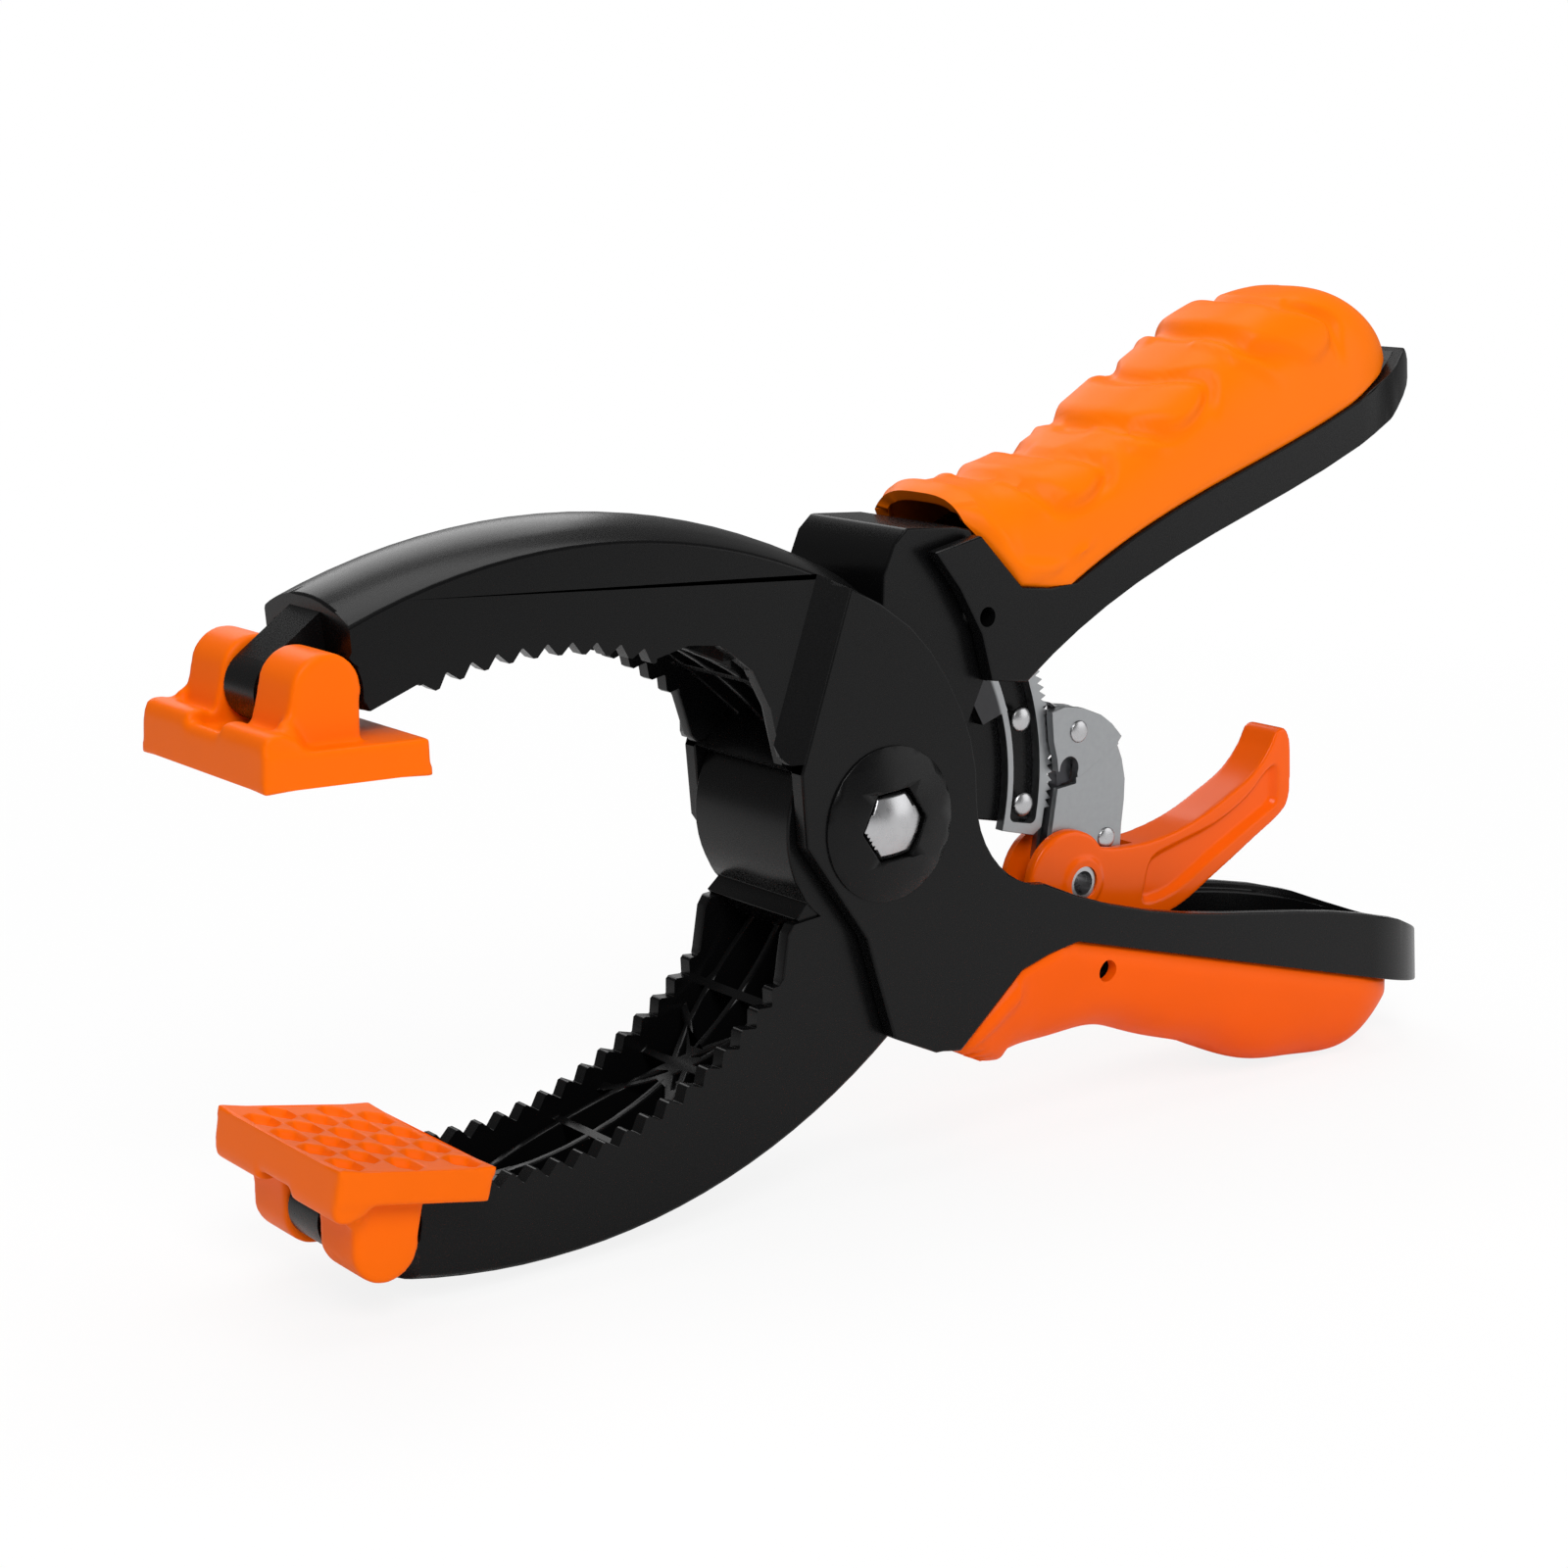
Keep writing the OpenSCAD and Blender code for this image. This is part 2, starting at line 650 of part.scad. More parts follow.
module pivot_bolt() {
  seat = cheek_half + boss_height - bolt_head_height;
  color(bright_steel) stand() {
    bar([0, 0], bolt_d / 2, -seat - 0.1, seat + bolt_head_height - 0.4);
    intersection() {
      translate([0, -seat, 0]) rotate([90, 0, 0])
        cylinder(r = bolt_flats / 2 / cos(30), h = bolt_head_height, $fn = 6);
      translate([0, -seat - bolt_head_height + 14, 0]) sphere(14);
    }
  }
}

module pivot_nut() {
  seat = cheek_half + boss_height - bolt_head_height;
  color(bright_steel) stand() difference() {
    translate([0, seat + bolt_head_height, 0]) rotate([90, 0, 0])
      cylinder(r = bolt_flats / 2 / cos(30), h = bolt_head_height, $fn = 6);
    bar([0, 0], bolt_d / 2, seat - 1, seat + 10);
  }
}

module pivot_sleeve() {
  color(steel) stand() difference() {
    bar([0, 0], sleeve_d / 2, -cheek_inner, cheek_inner);
    bar([0, 0], bolt_d / 2 + running_fit, -20, 20);
  }
}

// Points along a coil about the Y axis, with a straight leg at each end
function coil_path(radius, pitch, turns, start, y0, leg_a, leg_b) =
  let(per_turn = 8, n = ceil(turns * per_turn),
      wound = [for (i = [0 : n])
        let(a = start - 360 * turns * i / n) [radius * cos(a), y0 + pitch * turns * i / n, radius * sin(a)]])
  concat([leg_a], wound, [leg_b]);

// Unbroken tube of six sides along a path
module wire_tube(path, radius) {
  n = len(path);
  rings = [for (i = [0 : n - 1])
    let(t = unit(path[min(i + 1, n - 1)] - path[max(i - 1, 0)]),
        side = unit(cross(t, [0, 1, 0])), up = cross(side, t))
    [for (j = [0 : 5]) path[i] + radius * (cos(60 * j) * side + sin(60 * j) * up)]];
  loft(rings);
}

function unit(v) = v / norm(v);

main_path = coil_path(main_coil_r, main_pitch, main_turns, -128, -7.3, [31, -7.6, -33.8], [26, 6.6, 31.2]);

module main_spring() {
  color(spring_black) stand() wire_tube(main_path, main_wire / 2);
}

module ratchet_arc() {
  root_r = arc_tip_r - 1.2;
  teeth = floor((arc_high + arc_low - 4) / ratchet_pitch);
  toothed = [for (i = [0 : teeth - 1], k = [0, 1])
    let(a = -arc_low + 1 + (i + 0.15 * k) * ratchet_pitch) (k == 0 ? root_r : arc_tip_r) * polar(a)];
  color(steel) stand() {
    slab(-arc_half, arc_half) difference() {
      polygon(concat([[0, 0], (arc_inner_r + 2) * polar(-arc_low - 5), (root_r - 1.5) * polar(-arc_low - 5),
                        root_r * polar(-arc_low - 3)], toothed, [root_r * polar(arc_high)]));
      circle(arc_inner_r, $fn = 120);
      offset(1.2) offset(-1.2) intersection() {
        difference() {
          circle(44.6, $fn = 120);
          circle(arc_inner_r + 1.2, $fn = 120);
        }
        polygon([[0, 0], 70 * polar(-arc_low - 2.5), 70 * polar(26)]);
      }
    }
    slab(-arc_half, arc_half) polygon([[38, 8], [32.5, 6.6], [29.5, 13], [33, 18.5], [36.6, 12]]);
  }
}

module ratchet_rivets() {
  color(bright_steel) stand() for (a = [8.4, -12.1]) {
    at = 41.05 * [cos(a), sin(a)];
    bar(at, 1.3, -arc_half, web_back);
    bar(at, 2.1, -arc_half - 0.9, -arc_half + 0.8);
  }
}

// Smooth closed curve through points
function curve(points, steps) =
  let(n = len(points))
  [for (i = [0 : n - 1], k = [0 : steps - 1])
    let(t = k / steps, a = points[(i + n - 1) % n], b = points[i], c = points[(i + 1) % n],
        d = points[(i + 2) % n])
    0.5 * (2 * b + (c - a) * t + (2 * a - 5 * b + 4 * c - d) * t * t
           + (3 * b - a - 3 * c + d) * t * t * t)];

// Side view of the tail, which sweeps up to a blunt end
module trigger_outline() {
  polygon(curve([[46, -15.2], [51.5, -17.9], [59, -20.1], [68, -20.8], [77.4, -19.7], [86, -17],
                 [92.2, -14.4], [96.4, -10.8], [98.4, -8], [100.6, -7.8], [101.9, -10.6],
                 [101.8, -15.5], [101.2, -20.6], [98.8, -23.3], [91.9, -26.3], [81.8, -30.6],
                 [72, -34.3], [60, -35.4], [48, -32.2], [44, -24]], 5));
}

// Sunken side of the tail
module trigger_recess() {
  polygon(curve([[64.4, -31.6], [64.6, -27.6], [66.6, -23.6], [72, -22.3], [82.3, -20.8], [90.5, -17.8],
                 [95.6, -14.2], [98.4, -14], [98.5, -18.5], [97.6, -21.4], [91, -24], [82, -27.4],
                 [72, -31.4]], 4));
}

module trigger() {
  color(orange_plastic) stand() difference() {
    union() {
      slab(-trigger_half, trigger_half) trigger_outline();
      bar(trigger_pin_at + [-3, 0.9], 8.9, -trigger_half, trigger_half);
    }
    slab(-trigger_inner, trigger_inner)
      polygon([[30, -42], [30, 0], [60, 0], [64, -16], [63.5, -28], [60, -42]]);
    slab_pair(trigger_half - 1.2, trigger_half + 1) trigger_recess();
    bar(trigger_pin_at, trigger_pin_d / 2 + running_fit, -20, 20);
    bar_pair(pawl_rivets_at[1], 2.1, plate_far - 1, plate_far + 0.7);
    bar(trigger_pin_at + trigger_hook_hole, 2 * trigger_wire, trigger_half - 1, trigger_half + 1);
  }
}

// Open at the bolt head's side, with a tail behind that carries the spring
module trigger_pin() {
  color(bright_steel) stand() difference() {
    bar(trigger_pin_at, trigger_pin_d / 2, -trigger_half - 0.1, trigger_half + 3);
    bar(trigger_pin_at, trigger_pin_d / 2 - 0.8, -20, 20);
  }
}

module plate_outline() {
  difference() {
    polygon([[46.3, 6.2], [49.4, 6.5], [53.4, 5.5], [57.4, 3.5], [59.2, 2], [60.8, -1.2], [62.2, -5.3],
             [62.7, -8.9], [62.3, -12.6], [61.4, -17], [60.8, -22], [58.5, -26.5], [54.5, -29.5],
             [50, -30.2], [46.2, -28.4], [44.2, -24.5], [44.2, -19], [47.2, -7], [47, -2], [46.4, 1]]);
    translate([49.6, -4.3]) circle(2.1);
    translate([46, -7.3]) square([5.4, 3]);
    translate(trigger_pin_at) circle(trigger_pin_d / 2 + running_fit);
  }
}

// Upper part of the front plate, a second layer that ends along a slanting edge
module plate_cap() {
  difference() {
    intersection() {
      plate_outline();
      polygon([[40, 10], [40, -6.9], [50.1, -6.7], [53, -5.8], [70, 1.2], [70, 10]]);
    }
    translate([51, -7.1]) square([3, 0.9]);
  }
  polygon([[57.4, 3.5], [60, 1.3], [62, -1.2], [60.9, -2.3], [57, -1]]);
}

module pawl_front_plate() {
  color(steel) stand() difference() {
    union() {
      slab(-plate_far, -plate_near) plate_outline();
      slab(-plate_far - cap_thick, -plate_far + 0.4) plate_cap();
    }
    slab(-plate_far - 1, -plate_near + 1) rivet_holes();
  }
}

module pawl_rear_plate() {
  color(steel) stand() slab(plate_near, plate_far) difference() {
    plate_outline();
    rivet_holes();
  }
}

module rivet_holes() {
  for (at = pawl_rivets_at) translate(at) circle(1.5);
}

// Toothed block between the plates, its tips just clear of the arc
module pawl() {
  tip_r = arc_tip_r + 0.35;
  toothed = [for (i = [0 : 5], k = [0, 1])
    let(a = -1.5 + (i + 0.85 * k) * ratchet_pitch) (k == 0 ? tip_r + 1.1 : tip_r) * [cos(a), sin(a)]];
  color(bright_steel) stand() slab(-plate_near + 0.02, plate_near - 0.02) difference() {
    polygon(concat(toothed, [[50.2, 6], [54.5, 4.6], [58.8, 1.6], [59.6, -1.5], [53.6, -5.6], [51.6, -2]]));
    rivet_holes();
  }
}

module pawl_rivets() {
  color(bright_steel) stand() {
    for (at = pawl_rivets_at) {
      bar(at, 1.5, -plate_far, plate_far);
      bar(at, 1.9, plate_far, plate_far + 0.5);
    }
    bar(pawl_rivets_at[0], 1.5, -plate_far - cap_thick, 0);
    bar(pawl_rivets_at[0], 1.9, -plate_far - cap_thick - 0.5, -plate_far - cap_thick);
    bar(pawl_rivets_at[1], 1.9, -plate_far - 0.5, -plate_far);
  }
}

// Sprung strip whose round head lies in the notch of the plates
module pawl_leaf_spring() {
  half = plate_near - 0.02;
  color(spring_black) stand() {
    bar([49.6, -4.3], 1.8, -half, half);
    slab(-half, half)
      polygon([[48, -4], [51, -4], [51, -7], [48.9, -7], [46.3, -17.5], [45.2, -17.4], [48, -7]]);
  }
}

trigger_path = [for (p = coil_path(trigger_coil_r, trigger_pitch, trigger_turns, 180, trigger_half + 0.75,
                                   [-trigger_coil_r - 0.6, trigger_half + 0.75, -16.6],
                                   [trigger_hook[0], trigger_half - 0.5, trigger_hook[1]]))
  p + [trigger_pin_at[0], 0, trigger_pin_at[1]]];

module trigger_spring() {
  color(spring_black) stand() wire_tube(trigger_path, trigger_wire / 2);
}

// Least gap between wire surfaces that are more than half a turn apart
function coil_gap(path, radius) =
  min([for (i = [0 : len(path) - 1], j = [i + 5 : 1 : len(path) - 1]) norm(path[i] - path[j])]) - 2 * radius;
echo(main_spring_gap = coil_gap(main_path, main_wire / 2));
echo(trigger_spring_gap = coil_gap(trigger_path, trigger_wire / 2));

outer_lever();
inner_lever();
upper_grip();
lower_grip();
upper_pad();
lower_pad();
upper_pad_pin();
lower_pad_pin();
pivot_bolt();
pivot_nut();
pivot_sleeve();
main_spring();
ratchet_arc();
ratchet_rivets();
trigger();
trigger_pin();
pawl_front_plate();
pawl_rear_plate();
pawl();
pawl_rivets();
pawl_leaf_spring();
trigger_spring();
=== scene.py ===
"""Dresses the ratcheting spring clamp.

Models the soft grips, the swivel pads, the trigger and the rivets, rounds the moulded and stamped
edges, gives every piece its finish and sets up the studio.
"""

import json
import math

import bmesh
import bpy
from bpy.props import FloatProperty, FloatVectorProperty, PointerProperty
from mathutils import Matrix, Vector


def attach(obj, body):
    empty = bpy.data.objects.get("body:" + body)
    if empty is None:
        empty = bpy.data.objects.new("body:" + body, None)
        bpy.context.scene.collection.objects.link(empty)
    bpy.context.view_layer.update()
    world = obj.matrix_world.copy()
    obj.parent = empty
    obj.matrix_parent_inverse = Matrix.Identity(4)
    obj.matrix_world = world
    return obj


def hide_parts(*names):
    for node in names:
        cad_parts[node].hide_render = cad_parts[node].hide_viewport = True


bl_info = {
    "name": "Ratcheting Spring Clamp",
    "version": (1, 0, 0),
    "blender": (4, 5, 0),
    "location": "View3D > Sidebar > Clamp",
    "description": "Builds the visible pieces of a ratcheting spring clamp and its studio",
    "category": "Object",
}

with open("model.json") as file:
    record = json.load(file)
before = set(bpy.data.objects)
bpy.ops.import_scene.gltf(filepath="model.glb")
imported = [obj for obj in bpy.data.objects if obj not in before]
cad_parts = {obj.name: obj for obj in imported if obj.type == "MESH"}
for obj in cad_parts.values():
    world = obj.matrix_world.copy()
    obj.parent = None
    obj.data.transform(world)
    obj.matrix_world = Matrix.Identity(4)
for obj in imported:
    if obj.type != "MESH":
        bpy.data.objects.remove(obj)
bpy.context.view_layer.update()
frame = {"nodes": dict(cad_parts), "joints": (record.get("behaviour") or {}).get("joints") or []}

MM = 0.001
STAND_TILT = 5.0
JOINTS = {joint["name"]: joint for joint in frame["joints"]}
PIVOT = Vector(JOINTS["main_pivot"]["pos_m"])
# Turns a point drawn on the line that halves the angle between the levers to its place in the frame
STAND = Matrix.Translation(PIVOT) @ Matrix.Rotation(-math.radians(STAND_TILT), 4, "Y")

PAD_PIN = Vector((-94.2, 0.0, 38.7)) * MM
UPPER_PAD_TILT = 6.2
LOWER_PAD_TILT = 15.8


# ---- Properties ----


class ClampSizes(bpy.types.PropertyGroup):
    """Sizes of the pieces that are modelled here"""

    edge_round: FloatProperty(
        name="Edge round",
        description="Radius of the moulded edges of the black levers",
        default=0.4 * MM,
        unit="LENGTH",
    )


class ClampColours(bpy.types.PropertyGroup):
    """Colours of the finishes"""

    black: FloatVectorProperty(
        name="Black nylon",
        description="Base colour of the levers",
        default=(0.0032, 0.0032, 0.0034),
        subtype="COLOR",
        size=3,
    )
    pad: FloatVectorProperty(
        name="Pad orange",
        description="Base colour of the swivel pads",
        default=(1.0, 0.152, 0.0),
        subtype="COLOR",
        size=3,
    )
    upper_grip: FloatVectorProperty(
        name="Upper grip orange",
        description="Base colour of the upper grip",
        default=(1.0, 0.185, 0.0),
        subtype="COLOR",
        size=3,
    )
    trigger: FloatVectorProperty(
        name="Trigger orange",
        description="Base colour of the trigger and the lower grip",
        default=(1.0, 0.118, 0.0),
        subtype="COLOR",
        size=3,
    )


# ---- Finishes ----

# Noise scale of the uneven colour of moulded plastic
PATCH_SCALE = 45.0
STAMPED = (0.37, 0.38, 0.39)
# Colour of the painted shade on the steel arc near the hub
PAINTED_SHADE = (0.05, 0.05, 0.052)
# Inside this distance from the bolt's axis the steel arc is dark with painted shade near the hub;
# its border reaches in and out
PAINTED_SHADE_RADIUS = 37.5
PAINTED_SHADE_BORDER = (0.4, 0.2)


def finish(name):
    """An empty node material and its principled shader."""
    material = bpy.data.materials.new(name)
    material.use_nodes = True
    tree = material.node_tree
    shader = tree.nodes["Principled BSDF"]
    return material, tree, shader


def node(tree, kind, **values):
    """A new node with some of its inputs or settings given."""
    made = tree.nodes.new(kind)
    for key, value in values.items():
        if key in made.inputs:
            made.inputs[key].default_value = value
        else:
            setattr(made, key, value)
    return made


def grain(tree, scale, detail):
    """Noise in object coordinates."""
    place = node(tree, "ShaderNodeTexCoord")
    noise = node(tree, "ShaderNodeTexNoise", Scale=scale, Detail=detail)
    tree.links.new(place.outputs["Object"], noise.inputs["Vector"])
    return noise


def span(tree, source, low, high):
    """Maps a 0 to 1 value to a range."""
    ranged = node(tree, "ShaderNodeMapRange")
    ranged.inputs["To Min"].default_value = low
    ranged.inputs["To Max"].default_value = high
    tree.links.new(source, ranged.inputs["Value"])
    return ranged.outputs["Result"]


def tint(tree, source, first, second):
    """Mixes two colours by a value."""
    mix = node(tree, "ShaderNodeMix", data_type="RGBA")
    mix.inputs["A"].default_value = (*first, 1.0)
    mix.inputs["B"].default_value = (*second, 1.0)
    tree.links.new(source, mix.inputs["Factor"])
    return mix.outputs["Result"]


def surfaced(tree, shader, fine, patch, colour, shade, roughness, spread, bump, depth):
    """Drives a shader's colour by one noise, its gloss and its relief by another."""
    darker = [c * shade for c in colour]
    tree.links.new(tint(tree, patch.outputs["Fac"], darker, colour), shader.inputs["Base Color"])
    gloss = span(tree, fine.outputs["Fac"], roughness - spread, roughness + spread)
    tree.links.new(gloss, shader.inputs["Roughness"])
    relief = node(tree, "ShaderNodeBump", Strength=bump, Distance=depth)
    tree.links.new(fine.outputs["Fac"], relief.inputs["Height"])
    tree.links.new(relief.outputs["Normal"], shader.inputs["Normal"])


def plastic(name, colour, roughness, grain_scale, bump, specular):
    """Moulded plastic: slightly uneven colour, a fine spark-eroded grain and soft gloss."""
    material, tree, shader = finish(name)
    patch = grain(tree, PATCH_SCALE, 2.0)
    fine = grain(tree, grain_scale, 4.0)
    surfaced(
        tree, shader, fine, patch, colour,
        shade=0.88, roughness=roughness, spread=0.05, bump=bump, depth=0.05 * MM,
    )
    shader.inputs["Specular IOR Level"].default_value = specular
    return material


def metal(name, colour, roughness, grain_scale, bump):
    """Bare metal with faint streaks and scuffs."""
    material, tree, shader = finish(name)
    fine = grain(tree, grain_scale, 5.0)
    surfaced(
        tree, shader, fine, fine, colour,
        shade=0.8, roughness=roughness, spread=0.08, bump=bump, depth=0.03 * MM,
    )
    shader.inputs["Metallic"].default_value = 1.0
    return material


def paint_shade_inside(material, radius):
    """Paints shade on a metal: darker within a radius of the bolt's axis, with a soft border."""
    tree = material.node_tree
    colour = tree.nodes["Principled BSDF"].inputs["Base Color"]
    bare = colour.links[0].from_socket
    place = node(tree, "ShaderNodeTexCoord")
    shift = node(tree, "ShaderNodeVectorMath", operation="SUBTRACT")
    shift.inputs[1].default_value = PIVOT
    flat = node(tree, "ShaderNodeVectorMath", operation="MULTIPLY")
    flat.inputs[1].default_value = (1.0, 0.0, 1.0)
    length = node(tree, "ShaderNodeVectorMath", operation="LENGTH")
    tree.links.new(place.outputs["Object"], shift.inputs[0])
    tree.links.new(shift.outputs["Vector"], flat.inputs[0])
    tree.links.new(flat.outputs["Vector"], length.inputs[0])
    step = node(tree, "ShaderNodeMapRange")
    step.inputs["From Min"].default_value = radius - PAINTED_SHADE_BORDER[0] * MM
    step.inputs["From Max"].default_value = radius + PAINTED_SHADE_BORDER[1] * MM
    tree.links.new(length.outputs["Value"], step.inputs["Value"])
    mix = node(tree, "ShaderNodeMix", data_type="RGBA")
    mix.inputs["A"].default_value = (*PAINTED_SHADE, 1.0)
    tree.links.new(step.outputs["Result"], mix.inputs["Factor"])
    tree.links.new(bare, mix.inputs["B"])
    tree.links.new(mix.outputs["Result"], colour)


FINISHES = {}


def make_finishes(colours):
    """Makes every finish from its colour, roughness, grain scale, relief and shine."""
    for slot, name, colour, roughness, scale, bump, specular in (
        ("black_plastic", "black_nylon", colours.black, 0.27, 2600.0, 0.1, 0.15),
        ("orange_pad", "pad_rubber", colours.pad, 0.4, 1800.0, 0.1, 0.08),
        ("orange_grip", "grip_rubber", colours.upper_grip, 0.4, 1800.0, 0.12, 0.08),
        ("lower_grip", "lower_grip_rubber", colours.trigger, 0.4, 1800.0, 0.12, 0.08),
        ("orange_plastic", "trigger_plastic", colours.trigger, 0.2, 2200.0, 0.04, 0.16),
    ):
        FINISHES[slot] = plastic(name, colour, roughness, scale, bump, specular)
    for slot, name, colour, roughness, scale, bump in (
        ("steel", "stamped_steel", STAMPED, 0.42, 900.0, 0.2),
        # The arc's steel carries painted shade near the hub
        ("arc_steel_painted_shade", "arc_steel_painted_shade", STAMPED, 0.42, 900.0, 0.2),
        ("bright_steel", "bright_steel", (0.5, 0.5, 0.51), 0.28, 600.0, 0.1),
        ("spring_steel", "blackened_spring", (0.06, 0.06, 0.065), 0.35, 900.0, 0.1),
    ):
        FINISHES[slot] = metal(name, colour, roughness, scale, bump)
    # Painted shade: the steel arc is darker near the hub
    paint_shade_inside(FINISHES["arc_steel_painted_shade"], PAINTED_SHADE_RADIUS * MM)


# ---- Shared helpers ----


def piece_from(shape, name, body, finish_name, replaces=(), smooth=35.0, flat=False):
    """Turns a bmesh drawn in the frame into a finished piece that rides on a body."""
    mesh = bpy.data.meshes.new(name)
    shape.to_mesh(mesh)
    shape.free()
    piece = bpy.data.objects.new(name, mesh)
    bpy.context.scene.collection.objects.link(piece)
    mesh.materials.append(FINISHES[finish_name])
    mesh.shade_smooth()
    mesh.set_sharp_from_angle(angle=math.radians(smooth))
    if flat:
        even = piece.modifiers.new("even_faces", "WEIGHTED_NORMAL")
        even.keep_sharp = True
    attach(piece, body)
    if replaces:
        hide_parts(*replaces)
    return piece


def dress(name, finish_name):
    """Gives a CAD node its finish."""
    piece = frame["nodes"][name]
    piece.data.materials.clear()
    piece.data.materials.append(FINISHES[finish_name])


# ---- Solid helpers, in millimetres ----


def prism(shape, outline, low, high):
    """A solid between two places along Y from an outline in X and Z."""
    rings = [[shape.verts.new((x, y, z)) for x, z in outline] for y in (low, high)]
    count = len(outline)
    shape.faces.new(rings[0])
    shape.faces.new(reversed(rings[1]))
    for i in range(count):
        j = (i + 1) % count
        shape.faces.new((rings[0][j], rings[0][i], rings[1][i], rings[1][j]))


def cheek(shape, outline, side, near, far):
    """A solid on one side of the middle plane: side is 1 or -1."""
    prism(shape, outline, *sorted((side * near, side * far)))


def polar(radius, degrees, centre=(0.0, 0.0)):
    """A point at a distance and an angle from a centre."""
    angle = math.radians(degrees)
    return centre[0] + radius * math.cos(angle), centre[1] + radius * math.sin(angle)


def arc(radius, start, end, steps, centre=(0.0, 0.0)):
    """Points along an arc, ends included."""
    return [polar(radius, start + (end - start) * i / steps, centre) for i in range(steps + 1)]


def circle(radius, count, centre=(0.0, 0.0)):
    """Points once round a circle."""
    return [polar(radius, 360.0 * i / count, centre) for i in range(count)]


def modified(shape, kind, **values):
    """The bmesh after one modifier."""
    mesh = bpy.data.meshes.new("draft")
    bmesh.ops.recalc_face_normals(shape, faces=shape.faces)
    shape.to_mesh(mesh)
    shape.free()
    draft = bpy.data.objects.new("draft", mesh)
    bpy.context.scene.collection.objects.link(draft)
    change = draft.modifiers.new("change", kind)
    for key, value in values.items():
        setattr(change, key, value)
    bpy.context.view_layer.update()
    done = draft.evaluated_get(bpy.context.evaluated_depsgraph_get())
    result = bmesh.new()
    result.from_mesh(done.data)
    bpy.data.objects.remove(draft)
    bpy.data.meshes.remove(mesh)
    return result


def fused(shape, cell):
    """Overlapping solids as one skin of even cells."""
    return modified(shape, "REMESH", mode="VOXEL", voxel_size=cell)


def carved(shape, cutter):
    """The shape less the cutter's solids."""
    mesh = bpy.data.meshes.new("cutter")
    bmesh.ops.recalc_face_normals(cutter, faces=cutter.faces)
    cutter.to_mesh(mesh)
    cutter.free()
    tool = bpy.data.objects.new("cutter", mesh)
    bpy.context.scene.collection.objects.link(tool)
    result = modified(shape, "BOOLEAN", operation="DIFFERENCE", object=tool, solver="EXACT")
    bpy.data.objects.remove(tool)
    bpy.data.meshes.remove(mesh)
    return result


def soften(shape, rounds, region=None):
    """Evens out the skin, everywhere or where region(point) is true."""
    verts = [v for v in shape.verts if region is None or region(v.co)]
    for _ in range(rounds):
        bmesh.ops.smooth_vert(
            shape, verts=verts, factor=0.5, use_axis_x=True, use_axis_y=True, use_axis_z=True
        )


def ease(value):
    """Rises smoothly from 0 to 1."""
    value = min(1.0, max(0.0, value))
    return value * value * (3.0 - 2.0 * value)


def turn_over(shape):
    """Mirrors a shape in the plane of X and Y."""
    bmesh.ops.transform(shape, matrix=Matrix.Scale(-1.0, 4, (0, 0, 1)), verts=shape.verts)
    bmesh.ops.reverse_faces(shape, faces=shape.faces)


def placed(shape, matrix):
    """Takes a shape from its own millimetres to its place in the frame."""
    bmesh.ops.transform(shape, matrix=matrix @ Matrix.Scale(MM, 4), verts=shape.verts)
    return shape


# ---- Levers ----

# The dark web behind the slot of the steel arc: radii, angles and its span along Y
WEB_RADII = (41.4, 45.4)
WEB_ANGLES = (-17.6, 28.0)
WEB_SPAN = (0.95, 2.1)
WELD_GAP = 0.002
# Angles in degrees: faces that count as one, and edges that are rounded
FLAT_WITHIN = 0.8
EDGE_FROM = 32.0
# A corner is rounded where its shortest edge is this many radii long
ROOM = 2.3


def rounded_copy(name, radius):
    """The solid of a CAD node with its edges rounded where there is room."""
    shape = bmesh.new()
    shape.from_mesh(frame["nodes"][name].data)
    bmesh.ops.remove_doubles(shape, verts=shape.verts, dist=WELD_GAP * MM)
    bmesh.ops.dissolve_limit(
        shape, angle_limit=math.radians(FLAT_WITHIN), verts=shape.verts, edges=shape.edges,
        delimit={"NORMAL"},
    )
    least = ROOM * radius
    roomy = {v for v in shape.verts if min(e.calc_length() for e in v.link_edges) > least}
    sharp = math.radians(EDGE_FROM)
    edges = [
        e
        for e in shape.edges
        if e.is_manifold and e.calc_face_angle(0.0) > sharp and roomy.issuperset(e.verts)
    ]
    bmesh.ops.bevel(
        shape, geom=edges, offset=radius, offset_type="OFFSET", segments=2, profile=0.5,
        affect="EDGES", clamp_overlap=False, material=-1,
    )
    return shape


def add_web_edge(shape):
    """The dark web behind the slot of the steel arc, out to the back of the toothed rail."""
    strip = bmesh.new()
    low, high = WEB_ANGLES
    outline = arc(WEB_RADII[0], low, high, 24) + arc(WEB_RADII[1], high, low, 24)
    prism(strip, outline, *WEB_SPAN)
    bmesh.ops.recalc_face_normals(strip, faces=strip.faces)
    placed(strip, STAND)
    mesh = bpy.data.meshes.new("web_edge")
    strip.to_mesh(mesh)
    strip.free()
    shape.from_mesh(mesh)
    bpy.data.meshes.remove(mesh)


# ---- Swivel pads, about the pin with the clamping face down ----

PAD_LEFT = -11.1
PAD_RIGHT = 14.5
PAD_HALF = 18.2
PAD_FACE = -11.0
PAD_TOP = -5.7
EAR_NEAR = 4.8
EAR_FAR = 15.0
EAR_R = 5.25
PIN_BORE_R = 2.05
PIN_BORE_HALF = 11.3
PAD_CELL = 0.36
# The pits in the clamping face: count, spacing and half size across and along
PIT_COUNT = (5, 4)
PIT_STEP = (4.75, 8.0)
PIT_HALF = (2.2, 3.7)
PIT_START = 3.3
PIT_STAGGER = 2.0
PIT_TAPER = 0.45
PIT_SLOPE = 3.4
PIT_DEPTH = 1.15
DISH_DEPTH = 0.45
# Heights above the face: of the band that keeps its sharp edges, and of the skin that is sunk
SHARP_BAND = 1.6
FACE_SKIN = 0.25


